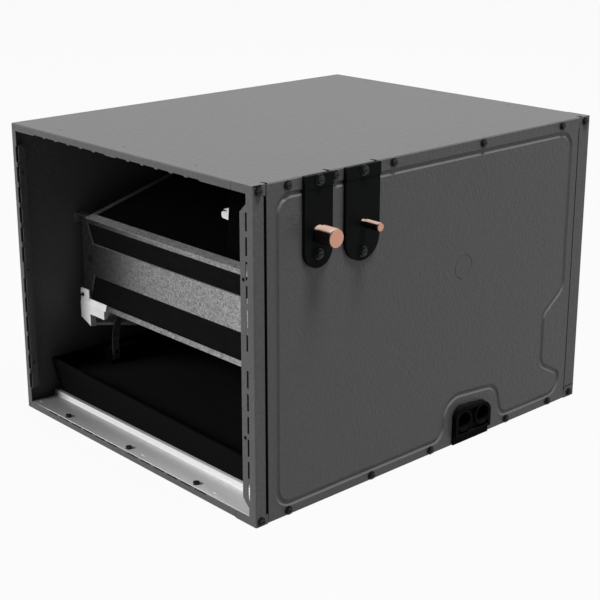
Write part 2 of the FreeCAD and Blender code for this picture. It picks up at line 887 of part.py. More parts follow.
def right_return_bends():
    """The return bends at the right, which lead each circuit from one hairpin to the next."""
    inner, outer = tube_places()
    bends = []
    for index in range(tubes_per_row - 1):
        if index == circuit_tubes - 1:
            continue
        step = index if index < circuit_tubes else index - circuit_tubes
        row = outer if step % 2 == 0 else inner
        bends.append(u_bend(row[index], row[index + 1], coil_right - galvanised, 1))
    return Part.makeCompound(bends)


def front_angle():
    """The galvanised angle over the slab's outer front corner."""
    outer = slab_thickness + galvanised
    points = [Vector(0, angle_top, outer - galvanised / 2),
              Vector(0, -galvanised / 2, outer - galvanised / 2),
              Vector(0, -galvanised / 2, slab_thickness - angle_lip)]
    strip = folded_strip(points, galvanised, 0.0, Vector(coil_right - coil_left, 0, 0))
    strip.translate(Vector(coil_left, 0, 0))
    return strip


def slab_point(along, through):
    """Distance from the front and height of a point given in the upper slab's own directions."""
    tilt = math.radians(slab_angle)
    front = coil_front + along * math.cos(tilt) - through * math.sin(tilt)
    height = coil_height + apex_gap / 2 + along * math.sin(tilt) + through * math.cos(tilt)
    return front, height


def face_height(front, through):
    """Height of the upper slab at a distance from the front, so far through its thickness."""
    tilt = math.radians(slab_angle)
    along = (front - coil_front + through * math.sin(tilt)) / math.cos(tilt)
    return slab_point(along, through)[1]


def lower_face_height(front):
    """Height of the lower slab's outer face, with the sheet folded over it."""
    return 2 * coil_height - face_height(front, slab_thickness + galvanised)


def slab_space(place, clearance):
    """The room one slab takes up with its sheets and angle, and a clearance outside them."""
    return place(box(coil_left, coil_right, -galvanised - clearance, slab_length,
                     0, slab_thickness + galvanised + clearance))


def apex_plate():
    """The sheet that joins the slabs at the front, with flanges along them and an ear at each end."""
    half = apex_gap / 2
    y0 = front_y + coil_front - galvanised
    y1 = front_y + coil_front
    web = box(coil_left, coil_right, y0, y1, coil_height - half, coil_height + half)
    left_ear = box(coil_left - apex_ear_width, coil_left, y0, y1,
                   coil_height - apex_ear_low, coil_height + apex_ear_high)
    right_ear = box(coil_right, coil_right + apex_right_ear, y0, y1,
                    coil_height - apex_ear_low, coil_height + apex_ear_low)
    flange = box(coil_left + galvanised, coil_right - galvanised,
                 -galvanised / 2, apex_flange, -galvanised, 0)
    plate = fused([web, left_ear, right_ear, upper_place(flange), lower_place(flange)])
    hole = rod(Vector(coil_left - apex_screw_out, y0 - galvanised, coil_height), Vector(0, 1, 0),
               shank_radius + screw_hole_clearance, 4 * galvanised)
    return less(plate, [hole])


def pan_head_screw(seat, outward, head_radius, head_height, length):
    """A screw with a plain round head, seated at a point."""
    head = rod(seat, outward, head_radius, head_height)
    shank = rod(seat - outward * length, outward, shank_radius, length)
    return fused([head, shank])


def apex_screw():
    """The screw at the left end of the apex plate."""
    seat = Vector(coil_left - apex_screw_out, front_y + coil_front - galvanised, coil_height)
    return pan_head_screw(seat, Vector(0, -1, 0), apex_head_radius, apex_head_height, shank_length)


def delta_plate(x_outer, inward):
    """The sheet that closes the wedge between the slabs at one end."""
    rear, high = slab_point(slab_length, 0.0)
    low = 2 * coil_height - high
    half = apex_gap / 2
    corners = [yz(coil_front, coil_height - half, x_outer), yz(rear, low, x_outer),
               yz(rear, high, x_outer), yz(coil_front, coil_height + half, x_outer)]
    return prism(corners, [0] * 4, Vector(inward * galvanised, 0, 0))


def coil_bracket():
    """The angle that hangs the coil's left ear on the casing's wall."""
    wall = left_x + sheet + bracket_sheet / 2
    seat = coil_height + apex_ear_high + bracket_sheet / 2
    points = [Vector(wall, 0, seat - bracket_drop), Vector(wall, 0, seat),
              Vector(coil_left - bracket_clearance, 0, seat)]
    strip = folded_strip(points, bracket_sheet, bracket_sheet / 2, Vector(0, bracket_depth, 0))
    strip.translate(Vector(0, front_y + coil_front - galvanised, 0))
    return strip


def inner_right():
    """How far right a sheet inside may reach, clear of the door's bead."""
    return flange_x - bead_depth - baffle_clearance


def rear_baffle():
    """The galvanised sheet behind the slabs that sends all the air through them."""
    rear, high = slab_point(slab_length, 0.0)
    low = 2 * coil_height - high
    y0 = front_y + rear + baffle_clearance
    x0 = left_x + sheet + baffle_clearance
    top = casing_height - sheet
    corners = [Vector(x0, y0, pan_rim_height), Vector(inner_right(), y0, pan_rim_height),
               Vector(inner_right(), y0, top), Vector(x0, y0, top)]
    plate = prism(corners, [0, 0, 0, bend], Vector(0, galvanised, 0))
    flange = box(x0 + bend, inner_right() - door_lap, y0, y0 + baffle_flange, top - galvanised, top)
    window = box(coil_left + baffle_window_inset, coil_right - baffle_window_inset,
                 y0 - galvanised, y0 + 2 * galvanised, low, high)
    return less(fused([plate, flange]), [window])


def piping_baffle():
    """The upright sheet on the upper slab that closes off the piping at the right."""
    foot = face_height(piping_baffle_front + galvanised, slab_thickness + galvanised) + baffle_clearance
    top = casing_height - sheet
    corners = [Vector(piping_baffle_left, 0, foot), Vector(inner_right(), 0, foot),
               Vector(inner_right(), 0, top), Vector(piping_baffle_left + piping_baffle_lean, 0, top)]
    plate = prism(corners, [0] * 4, Vector(0, galvanised, 0))
    plate.translate(Vector(0, front_y + piping_baffle_front, 0))
    return plate


def drip_clip():
    """The small moulded guide behind the edge of the piping baffle."""
    body = None
    rear = piping_baffle_front + galvanised + clip_depth
    foot = face_height(rear, slab_thickness + galvanised) + clip_above_slab
    for inset in (0.0, clip_wall):
        left = clip_left + inset
        right = clip_left + clip_width - inset
        low = foot + inset
        high = foot + clip_tall - inset
        corners = [Vector(left, 0, low + clip_taper), Vector(right, 0, low),
                   Vector(right, 0, high), Vector(left, 0, high - clip_taper)]
        round_left = clip_round - inset
        round_right = clip_taper - inset
        block = prism(corners, [round_left, round_right, round_right, round_left], Vector(0, clip_depth, 0))
        if body is None:
            body = block
        else:
            block.translate(Vector(0, clip_wall, 0))
            body = body.cut(block)
    top = foot + clip_tall
    middle = clip_left + clip_width / 2
    tab = prism([Vector(clip_left + clip_round, 0, top + clip_tab_gap),
                 Vector(middle - clip_taper, 0, top + clip_tab_gap / 2),
                 Vector(middle, 0, top - clip_wall), Vector(middle + clip_wall, 0, top - clip_wall),
                 Vector(middle + 2 * clip_taper, 0, top + clip_tab_rise),
                 Vector(middle - clip_wall, 0, top + clip_tab_gap + clip_wall)],
                [0] * 6, Vector(0, clip_tab_depth, 0))
    body = fused([body, tab])
    body.translate(Vector(0, front_y + piping_baffle_front + galvanised, 0))
    return body


def gutter_plate():
    """The gutter's front plate, wide above and narrow below, with a flange, a gusset and a cheek."""
    half = gutter_wall / 2
    flap_right = gutter_left + gutter_flap
    front = front_y + gutter_front
    back = front + gutter_wall
    corners = [Vector(gutter_left, front, gutter_top), Vector(gutter_left, front, gutter_knee),
               Vector(gutter_right, front, gutter_keel), Vector(gutter_right, front, gutter_flap_low),
               Vector(flap_right, front, gutter_flap_low), Vector(flap_right, front, gutter_top)]
    plate = prism(corners, [0] * 6, Vector(0, gutter_wall, 0))
    flange_line = [yz(gutter_front + half, gutter_top - half), yz(gutter_front + half, gutter_top),
                   yz(gutter_front + gutter_wall + half, gutter_top + gutter_flange)]
    flange = folded_strip(flange_line, gutter_wall, 0.0, Vector(gutter_flap + gutter_lip, 0, 0))
    flange.translate(Vector(gutter_left, 0, 0))
    gusset_x = flap_right - gutter_wall
    gusset = prism([Vector(gusset_x, back - half, gutter_top),
                    Vector(gusset_x, back - half, gutter_flap_low),
                    Vector(gusset_x, back + gutter_bend, gutter_flap_low),
                    Vector(gusset_x, back + gutter_flap_drop, gutter_top)],
                   [0] * 4, Vector(gutter_wall, 0, 0))
    fall = gutter_cheek * math.tan(math.radians(gutter_slope))
    cheek_x = gutter_right - gutter_wall
    cheek_rear = front + gutter_cheek
    cheek = prism([Vector(cheek_x, front, gutter_keel), Vector(cheek_x, cheek_rear, gutter_keel - fall),
                   Vector(cheek_x, cheek_rear, gutter_flap_low),
                   Vector(cheek_x, front, gutter_flap_low)],
                  [0] * 4, Vector(gutter_wall, 0, 0))
    return fused([plate, flange, gusset, cheek])


def gutter_trough():
    """The gutter's falling trough: its left wall, a floor that leans to the right and a low lip."""
    half = gutter_wall / 2
    left = gutter_left + half
    right = gutter_right - half
    keel = gutter_keel - gutter_knee + half
    wall_top = lower_face_height(gutter_front) - gutter_knee
    section = [Vector(left, 0, wall_top), Vector(left, 0, 0), Vector(right, 0, keel),
               Vector(right, 0, keel + gutter_lip)]
    trough = folded_strip(section, gutter_wall, half, Vector(0, gutter_length + 2 * gutter_drop, 0))
    trough.translate(Vector(0, -gutter_drop, 0))
    trough.rotate(Vector(0, 0, 0), Vector(1, 0, 0), -gutter_slope)
    trough.translate(yz(gutter_front + half, gutter_knee))
    front = front_y + gutter_front + half
    kept = box(left_x, right_x, front, front_y + gutter_front + gutter_length, 0, casing_height)
    return trough.common(kept)


def end_gutter():
    """The moulded gutter under the lower slab's left end, with its front flap and hook."""
    half = gutter_wall / 2
    hook_y = front_y + gutter_front + half
    right = gutter_left + hook_width
    top = gutter_top + hook_height
    corners = [Vector(gutter_left, hook_y, gutter_top - half), Vector(right, hook_y, gutter_top - half),
               Vector(right, hook_y, top), Vector(gutter_left, hook_y, top)]
    hook = prism(corners, [0, 0, gutter_bend, gutter_bend], Vector(0, gutter_wall, 0))
    eye_x = gutter_left + hook_eye_in
    eye_z = gutter_top + hook_eye_up
    eye = rod(Vector(eye_x, hook_y - half, eye_z), Vector(0, 1, 0), hook_eye_radius, 2 * gutter_wall)
    mouth = box(gutter_left - half, eye_x, hook_y - half, hook_y + 2 * gutter_wall,
                eye_z - hook_eye_radius, eye_z)
    whole = fused([gutter_plate(), gutter_trough(), hook.cut(eye).cut(mouth)])
    return less(whole, [slab_space(lower_place, baffle_clearance)])


def pan_half():
    """Half the pan's width at its rim."""
    return right_x - pan_side_gap


def pan_rear():
    """Distance from the front to the outside of the pan's rear rim."""
    return slab_point(slab_length, 0.0)[0] + baffle_clearance + galvanised + baffle_rim_back


def lean(drop):
    """How far the pan's drafted walls come in over a drop below the rim."""
    return drop * math.tan(math.radians(pan_draft))


def floor_height(x, lift=0.0):
    """Height of the pan's sloping floor, or of a line above it."""
    share = (x + pan_half()) / (2 * pan_half())
    return pan_floor_left + (pan_floor_right - pan_floor_left) * share + lift


def tapered(inset, bottom, top):
    """A block like the pan's outside, set in by so much, between two heights."""
    sections = []
    for height in (bottom, top):
        inward = inset + lean(pan_rim_height - height)
        x = pan_half() - inward
        corners = [yz(pan_front + inward, height, -x), yz(pan_front + inward, height, x),
                   yz(pan_rear() - inward, height, x), yz(pan_rear() - inward, height, -x)]
        sections.append(Part.makePolygon(corners + [corners[0]]))
    return Part.makeLoft(sections, True, True)


def above_floor(drop, x0, x1, y0, y1):
    """The room over the pan's sloping floor, or over a line so far under it."""
    corners = [Vector(x0, y0, floor_height(x0, -drop)), Vector(x1, y0, floor_height(x1, -drop)),
               Vector(x1, y0, casing_height), Vector(x0, y0, casing_height)]
    return prism(corners, [0] * 4, Vector(0, y1 - y0, 0))


def drain_pan():
    """The moulded pan under the coil, with a floor that falls to the two drain sockets."""
    half = pan_half()
    deep = drain_socket_height - drain_bore_radius
    inner = tapered(pan_wall, deep, pan_rim_height + pan_wall)
    cavity = inner.common(above_floor(0.0, left_x, right_x, front_y, rear_y))
    channel_y0 = front_y + pan_front
    channel_y1 = channel_y0 + lean(pan_rim_height - deep) + pan_wall + pan_channel_width
    channel = inner.common(above_floor(pan_channel_drop, pan_channel_left - half, right_x,
                                       channel_y0, channel_y1))
    middle = front_y + drain_front
    reach = drain_socket_offset + drain_socket_radius
    sump = inner.common(box(sump_left, right_x, middle - reach, middle + reach, deep, casing_height))
    underside = tapered(pan_wall, rail_top - pan_wall, pan_floor_right - pan_wall)
    underside = underside.common(box(left_x, sump_left - pan_wall, channel_y1 + pan_wall, rear_y,
                                     0, casing_height))
    notch_x = pan_notch_inset - half
    notch_y = front_y + pan_front
    notch = box(notch_x, notch_x + pan_notch_width, notch_y, notch_y + pan_notch_reach,
                pan_notch_height, pan_notch_height + pan_notch_reach)
    pan = less(tapered(0.0, rail_top, pan_rim_height), [cavity, channel, sump, underside, notch])
    rim_rear = channel_y0 + pan_wall + lean(pan_rim_fall)
    pan = less(pan, [prism([Vector(pan_wall - half, channel_y0 - pan_wall, pan_rim_height),
                            Vector(half - pan_wall, channel_y0 - pan_wall, pan_rim_height - pan_rim_fall),
                            Vector(half - pan_wall, channel_y0 - pan_wall, casing_height),
                            Vector(pan_wall - half, channel_y0 - pan_wall, casing_height)],
                           [0] * 4, Vector(0, rim_rear - channel_y0 + 2 * pan_wall, 0))])
    rib_y = front_y + pan_rib_front
    rib_left = pan_channel_left - half
    rib = above_floor(pan_wall, rib_left, sump_left, rib_y, rib_y + pan_rib_width)
    rib = rib.cut(above_floor(-pan_rib_height, left_x, right_x, front_y, rear_y))
    rest_rear = slab_point(slab_length, slab_thickness + galvanised)[0]
    rest_front = rest_rear - pan_rest_inset
    rest_rear = rest_front + pan_rest_width
    rest = prism([yz(rest_front, pan_floor_right - pan_wall, coil_left),
                  yz(rest_rear, pan_floor_right - pan_wall, coil_left),
                  yz(rest_rear, lower_face_height(rest_rear) - pan_rest_gap, coil_left),
                  yz(rest_front, lower_face_height(rest_front) - pan_rest_gap, coil_left)],
                 [0] * 4, Vector(coil_right - coil_left, 0, 0))
    neck = drain_prism(0.0, half - lean(pan_rim_height - door_lap) - pan_wall, right_x, door_lap + seam)
    face_x = right_x + drain_proud
    face = drain_prism(0.0, right_x, face_x, drain_lip_height)
    lip = box(right_x, right_x + drain_lip_proud, middle - drain_width / 2, middle + drain_width / 2,
              drain_floor_gap, drain_lip_height)
    pan = fused([pan, rib, rest, neck, face, lip])
    pocket = drain_prism(-drain_pocket_wall, face_x - drain_pocket_depth, face_x + sheet,
                         drain_lip_height + drain_socket_wall)
    cutters = []
    for side in (-1, 1):
        start = Vector(face_x - drain_socket_depth, middle + side * drain_socket_offset,
                       drain_socket_height)
        pocket = pocket.cut(rod(start, Vector(1, 0, 0), drain_socket_radius + drain_socket_wall,
                                drain_socket_depth))
        cutters.append(rod(start, Vector(1, 0, 0), drain_socket_radius, drain_socket_depth + sheet))
        bore = Vector(sump_left + pan_wall, start.y, start.z)
        cutters.append(rod(bore, Vector(1, 0, 0), drain_bore_radius, start.x - bore.x + sheet))
    cutters.append(pocket)
    return less(pan, cutters)


def rail_screw_points():
    """Where the rail's screws seat on its flat front."""
    return [yz(rail_screw_front, rim_width + galvanised, rail_screw_middle + index * rail_screw_pitch)
            for index in (-1, 0, 1)]


def front_rail():
    """The galvanised rail inside the front rim that carries the front of the pan."""
    half = galvanised / 2
    shelf_rear = rail_flat_end + rail_shelf
    points = [yz(rail_flat_start, rim_width + half), yz(rail_flat_end, rim_width + half),
              yz(rail_flat_end, rail_top - half), yz(shelf_rear, rail_top - half), yz(shelf_rear, sheet)]
    x0 = left_x + rail_end_gap
    strip = folded_strip(points, galvanised, galvanised, Vector(duct_fold_x - sheet - x0, 0, 0))
    strip.translate(Vector(x0, 0, 0))
    radius = shank_radius + screw_hole_clearance
    holes = [rod(seat - Vector(0, 0, 2 * galvanised), Vector(0, 0, 1), radius, 4 * galvanised)
             for seat in rail_screw_points()]
    return less(strip, holes)


def rear_rail():
    """The galvanised channel on the casing's bottom that carries the rear of the pan."""
    half = galvanised / 2
    foot = sheet + half
    rear = pan_rear() - rear_rail_lap
    front = rear - rear_rail_width
    points = [yz(front - rear_rail_foot, foot), yz(front, foot), yz(front, rail_top - half),
              yz(rear, rail_top - half), yz(rear, foot), yz(rear + rear_rail_foot, foot)]
    x0 = left_x + rear_rail_end_gap
    strip = folded_strip(points, galvanised, galvanised, Vector(-2 * x0, 0, 0))
    strip.translate(Vector(x0, 0, 0))
    return strip


def rail_screws():
    """The three screws of the front rail."""
    return Part.makeCompound([pan_head_screw(seat, Vector(0, 0, 1), rail_head_radius,
                                             rail_head_height, rail_shank)
                              for seat in rail_screw_points()])


def strap_screw_seat():
    """Where the strap's screw seats on the strap."""
    return Vector(support_block_left + support_block_width + strap_thickness,
                  front_y + strap_front + strap_width / 2, strap_screw_height)


def support_block():
    """The moulded block on the pan's floor that holds the strap's foot."""
    x0 = support_block_left
    x1 = x0 + support_block_width
    corners = [Vector(x0, 0, floor_height(x0)), Vector(x1, 0, floor_height(x1)),
               Vector(x1, 0, support_block_top), Vector(x0, 0, support_block_top)]
    radii = [0, 0, support_block_edge, support_block_edge]
    block = prism(corners, radii, Vector(0, support_block_length, 0))
    block.translate(Vector(0, front_y + support_block_front, 0))
    hole = rod(strap_screw_seat(), Vector(-1, 0, 0), shank_radius + screw_hole_clearance,
               strap_shank_length + strap_thickness)
    return less(block, [hole])


def support_strap():
    """The curved strap between the block and the lower slab."""
    x = support_block_left + support_block_width + strap_thickness / 2
    turn = math.radians(strap_angle)
    reach = strap_radius * math.tan(turn / 2)
    seat = lower_face_height(strap_front + strap_width / 2)
    straight_top = seat + strap_thickness / 2 - strap_radius * math.sin(turn)
    corner = Vector(x, 0, straight_top + reach)
    end = corner + Vector(math.sin(turn), 0, math.cos(turn)) * (reach + strap_thickness)
    strip = folded_strip([Vector(x, 0, strap_foot), corner, end], strap_thickness,
                         strap_radius, Vector(0, strap_width, 0))
    strip.translate(Vector(0, front_y + strap_front, 0))
    hole = rod(strap_screw_seat() - Vector(2 * strap_thickness, 0, 0), Vector(1, 0, 0),
               shank_radius + screw_hole_clearance, 4 * strap_thickness)
    return less(strip, [hole, slab_space(lower_place, baffle_clearance)])


def stub_end(front, radius, swage_radius):
    """The outer end of a copper line, swaged out and closed flat."""
    tip = right_x + stub_reach
    shoulder = right_x + plate_thickness + stub_neck
    outline = [Vector(shoulder - swage_radius + radius, 0, 0),
               Vector(shoulder - swage_radius + radius, radius, 0),
               Vector(shoulder, swage_radius, 0), Vector(tip - stub_edge, swage_radius, 0),
               Vector(tip, swage_radius - stub_edge, 0), Vector(tip, 0, 0)]
    face = Part.Face(Part.makePolygon(outline + [outline[0]]))
    body = face.revolve(Vector(0, 0, 0), Vector(1, 0, 0), 360)
    body.translate(yz(front, stub_height))
    return body


def suction_manifold():
    """The brazed suction line: a header along each slab, a riser and the stub outside."""
    shoulder = right_x + plate_thickness + stub_neck
    inner = tube_places()[0]
    first = inner[0]
    last = inner[circuit_tubes]
    riser_front = suction_front
    line = [yz(riser_front, stub_height, shoulder), yz(riser_front, stub_height, header_x),
            yz(riser_front, 2 * coil_height - face_height(riser_front, first.z), header_x)]
    pieces = [bent_rod(line, riser_bend, suction_radius),
              stub_end(suction_front, suction_radius, suction_swage_radius)]
    header = rod(Vector(header_x, -header_radius, first.z), Vector(0, 1, 0), header_radius,
                 last.y + 2 * header_radius)
    for place in (upper_place, lower_place):
        pieces.append(place(header))
        for tube in (first, last):
            branch = rod(tube + Vector(coil_right - galvanised, 0, 0), Vector(1, 0, 0), tube_radius,
                         header_x - coil_right + galvanised)
            pieces.append(place(branch))
    return fused(pieces)


def liquid_line():
    """The copper liquid line from its stub outside to the metering body."""
    shoulder = right_x + plate_thickness + stub_neck
    line = [yz(liquid_front, stub_height, shoulder), yz(liquid_front, stub_height, header_x),
            yz(metering_front, stub_height, header_x)]
    return fused([bent_rod(line, liquid_bend, liquid_radius),
                  stub_end(liquid_front, liquid_radius, liquid_swage_radius)])


def metering_body():
    """The brass metering body with its nut and the cone of the distributor."""
    start = yz(metering_front, stub_height, header_x)
    corners = []
    for index in range(6):
        angle = math.radians(60 * index)
        corners.append(start + Vector(math.cos(angle), 0, math.sin(angle)) * metering_nut)
    nut = prism(corners, [0] * 6, Vector(0, metering_nut_length, 0))
    body = rod(start, Vector(0, 1, 0), metering_radius, metering_length)
    cone = Part.makeCone(distributor_throat, distributor_radius, distributor_length,
                         start + Vector(0, metering_length, 0), Vector(0, 1, 0))
    return fused([nut, body, cone])


def feeder_tube(place, tube, outlet, lane):
    """One thin tube from the distributor to a slab, straight to it or down a lane past the headers."""
    seat = place(Part.Vertex(tube + Vector(coil_right - galvanised, 0, 0))).Point
    start = yz(distributor_end, stub_height, header_x) + outlet
    if lane is None:
        slope_start = max(start.y + feeder_lead, seat.y - feeder_slope)
        route = [start, Vector(start.x, slope_start, start.z)]
    else:
        route = [start, Vector(start.x, front_y + lane, start.z), Vector(start.x, front_y + lane, seat.z)]
    route += [Vector(start.x, seat.y, seat.z), seat + Vector(feeder_fitting, 0, 0)]
    fitting = rod(seat, Vector(1, 0, 0), tube_radius, feeder_fitting + galvanised)
    return fused([bent_rod(route, feeder_bend, feeder_radius), fitting])


def circuit_end(row_index, count):
    """The tube where a circuit that starts in the inner row ends, after so many hairpins."""
    inner, outer = tube_places()
    row = outer if count % 2 == 1 else inner
    return row[row_index]


def feeder_tubes():
    """The four thin tubes, two to each slab."""
    near = circuit_end(circuit_tubes - 1, circuit_tubes)
    far = circuit_end(tubes_per_row - 1, tubes_per_row - circuit_tubes)
    last = tube_places()[0][circuit_tubes]
    lane = slab_point(last.y + header_radius, last.z)[0] + feeder_lane_gap
    return Part.makeCompound([
        feeder_tube(upper_place, near, Vector(0, 0, -feeder_spread), None),
        feeder_tube(lower_place, near, Vector(-feeder_spread, 0, 0), lane),
        feeder_tube(lower_place, far, Vector(feeder_spread, 0, 0), lane + feeder_lane_pitch),
        feeder_tube(upper_place, far, Vector(0, 0, feeder_spread), None),
    ])


def main():
    """Build every piece and write it to its own file."""
    os.makedirs("parts", exist_ok=True)
    fins = fin_pack()
    left_sheet = tube_sheet(coil_left, 1)
    right_sheet = tube_sheet(coil_right, -1)
    hairpins = left_hairpins()
    returns = right_return_bends()
    angle = front_angle()
    plate_points = plate_top_screw_points() + plate_low_screw_points()
    pieces = {
        "casing_wrap": casing_wrap(),
        "front_corner_post": corner_post(front_post_side, post_tab),
        "rear_corner_post": mirrored_y(corner_post(rear_post_side, 0.0)),
        "access_door": access_door(),
        "suction_seal_plate": seal_plate(suction_front, suction_plate_width, suction_plate_drop,
                                         suction_radius, suction_screw_drop),
        "liquid_seal_plate": seal_plate(liquid_front, liquid_plate_width, liquid_plate_drop,
                                        liquid_radius, liquid_screw_drop),
        "door_screws": screw_group(door_screw_points(), door_head_radius, door_hex_radius),
        "post_screws": screw_group(post_screw_points(), door_head_radius, door_hex_radius),
        "seal_plate_screws": screw_group(plate_points, plate_head_radius, plate_hex_radius),
        "upper_fin_pack": upper_place(fins),
        "lower_fin_pack": lower_place(fins),
        "upper_left_tube_sheet": upper_place(left_sheet),
        "upper_right_tube_sheet": upper_place(right_sheet),
        "lower_left_tube_sheet": lower_place(left_sheet),
        "lower_right_tube_sheet": lower_place(right_sheet),
        "upper_hairpins": upper_place(hairpins),
        "lower_hairpins": lower_place(hairpins),
        "upper_return_bends": upper_place(returns),
        "lower_return_bends": lower_place(returns),
        "upper_front_angle": upper_place(angle),
        "lower_front_angle": lower_place(angle),
        "apex_plate": apex_plate(),
        "apex_screw": apex_screw(),
        "left_delta_plate": delta_plate(coil_left, 1),
        "right_delta_plate": delta_plate(coil_right, -1),
        "coil_bracket": coil_bracket(),
        "rear_baffle": rear_baffle(),
        "piping_baffle": piping_baffle(),
        "drip_clip": drip_clip(),
        "end_gutter": end_gutter(),
        "drain_pan": drain_pan(),
        "front_rail": front_rail(),
        "rear_rail": rear_rail(),
        "rail_screws": rail_screws(),
        "support_block": support_block(),
        "support_strap": support_strap(),
        "strap_screw": pan_head_screw(strap_screw_seat(), Vector(1, 0, 0), strap_head_radius,
                                      strap_head_height, strap_shank_length),
        "suction_manifold": suction_manifold(),
        "liquid_line": liquid_line(),
        "metering_body": metering_body(),
        "feeder_tubes": feeder_tubes(),
    }
    for name, shape in pieces.items():
        shape.exportStep("parts/" + name + ".step")


main()
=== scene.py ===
import json
import logging
import math
from dataclasses import dataclass, field
from enum import Enum
from typing import Callable, ClassVar

import bpy
from mathutils import Matrix, Vector

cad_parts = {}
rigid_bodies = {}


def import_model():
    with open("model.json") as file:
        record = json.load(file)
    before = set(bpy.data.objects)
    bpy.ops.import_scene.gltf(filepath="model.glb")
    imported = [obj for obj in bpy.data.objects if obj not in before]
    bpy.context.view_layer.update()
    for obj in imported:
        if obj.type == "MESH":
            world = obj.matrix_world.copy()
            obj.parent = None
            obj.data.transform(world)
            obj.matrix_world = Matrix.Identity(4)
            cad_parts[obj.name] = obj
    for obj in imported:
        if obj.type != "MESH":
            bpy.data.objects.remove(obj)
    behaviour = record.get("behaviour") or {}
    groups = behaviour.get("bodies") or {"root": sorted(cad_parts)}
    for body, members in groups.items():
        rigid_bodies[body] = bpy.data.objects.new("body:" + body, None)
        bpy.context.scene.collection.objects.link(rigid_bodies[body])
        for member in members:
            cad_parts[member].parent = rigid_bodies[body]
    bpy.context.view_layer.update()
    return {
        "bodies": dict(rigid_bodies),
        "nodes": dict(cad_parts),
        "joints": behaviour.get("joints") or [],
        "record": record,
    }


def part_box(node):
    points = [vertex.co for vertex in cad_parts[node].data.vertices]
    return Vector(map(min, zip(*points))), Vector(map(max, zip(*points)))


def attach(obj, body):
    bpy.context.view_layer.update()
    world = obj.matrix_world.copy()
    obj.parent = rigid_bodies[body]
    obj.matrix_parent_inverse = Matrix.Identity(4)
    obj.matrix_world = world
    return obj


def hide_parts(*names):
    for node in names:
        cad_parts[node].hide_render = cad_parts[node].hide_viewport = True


LOG = logging.getLogger("evaporator_coil")
MM = 0.001
Colour = tuple[float, float, float]
Span = tuple[float, float]
Socket = bpy.types.NodeSocket
Tree = bpy.types.NodeTree
Piece = bpy.types.Object
FULL: Span = (0.0, 1.0)
MERGE_DISTANCE = 1e-6
# A face looks along an axis when its normal's part along it is beyond this.
FACING = 0.9


class Axis(Enum):
    """The part's axes that the finishes look along."""

    X = "X"
    Z = "Z"


class Effect(Enum):
    """The shared node groups, by the names they have in the file."""

    GRAIN = "Pebble Grain"
    SPANGLE = "Zinc Spangle"
    MOTTLE = "Mottle"
    WEAR = "Edge Wear"


def grey(level: float) -> Colour:
    """A neutral colour."""
    return (level, level, level)


def scaled(colour: Colour, share: float) -> Colour:
    """A colour made lighter or darker by a share, and kept within white."""
    return tuple(min(1.0, part * share) for part in colour)


def rgba(colour: Colour) -> tuple[float, float, float, float]:
    """A colour with full cover, as the sockets take it."""
    return (*colour, 1.0)


class NodeBoard:
    """A node tree with short calls to place and join nodes."""

    def __init__(self, tree: Tree) -> None:
        """Start from an empty tree."""
        self.tree = tree
        tree.nodes.clear()

    def node(self, kind: str, settings: dict | None = None, **inputs: object) -> bpy.types.Node:
        """Place a node and fill its inputs.

        Args:
            kind: The node's type.
            settings: Properties of the node itself.
            inputs: Values or sockets by input name, with underscores for spaces.

        Returns:
            The new node.
        """
        made = self.tree.nodes.new(kind)
        for name, value in (settings or {}).items():
            setattr(made, name, value)
        for name, value in inputs.items():
            self.feed(made.inputs[name.replace("_", " ")], value)
        return made

    def feed(self, socket: Socket, value: object) -> None:
        """Give a socket a value, or join it to another socket.

        Args:
            socket: The input to fill.
            value: A plain value or an output socket.
        """
        if isinstance(value, Socket):
            self.tree.links.new(value, socket)
        else:
            socket.default_value = value

    def maths(self, operation: str, *values: object) -> Socket:
        """One step of arithmetic.

        Args:
            operation: The Math node's operation.
            values: Numbers or sockets, in the node's order.

        Returns:
            The result's socket.
        """
        made = self.node("ShaderNodeMath", {"operation": operation})
        for socket, value in zip(made.inputs, values):
            self.feed(socket, value)
        return made.outputs[0]

    def ranged(self, value: object, span: Span, levels: Span = FULL) -> Socket:
        """A value carried from one range to another, and kept inside it.

        Args:
            value: The number or socket to carry over.
            span: The values that give the first and the last level.
            levels: The levels at the span's two ends.

        Returns:
            The result's socket.
        """
        made = self.node("ShaderNodeMapRange", From_Min=span[0], From_Max=span[1],
                         To_Min=levels[0], To_Max=levels[1])
        self.feed(made.inputs["Value"], value)
        return made.outputs["Result"]

    def mixed(self, share: object, first: object, second: object) -> Socket:
        """A blend of two colours.

        Args:
            share: How much of the second colour there is, from 0 to 1.
            first: The first colour.
            second: The second colour.

        Returns:
            The blended colour's socket.
        """
        made = self.node("ShaderNodeMix", {"data_type": "RGBA"})
        for index, value in ((0, share), (6, first), (7, second)):
            self.feed(made.inputs[index], value)
        return made.outputs[2]

    def noise(self, place: Socket, scale: object, detail: float) -> Socket:
        """Soft noise at a place."""
        return self.node("ShaderNodeTexNoise", Vector=place, Scale=scale, Detail=detail).outputs["Fac"]


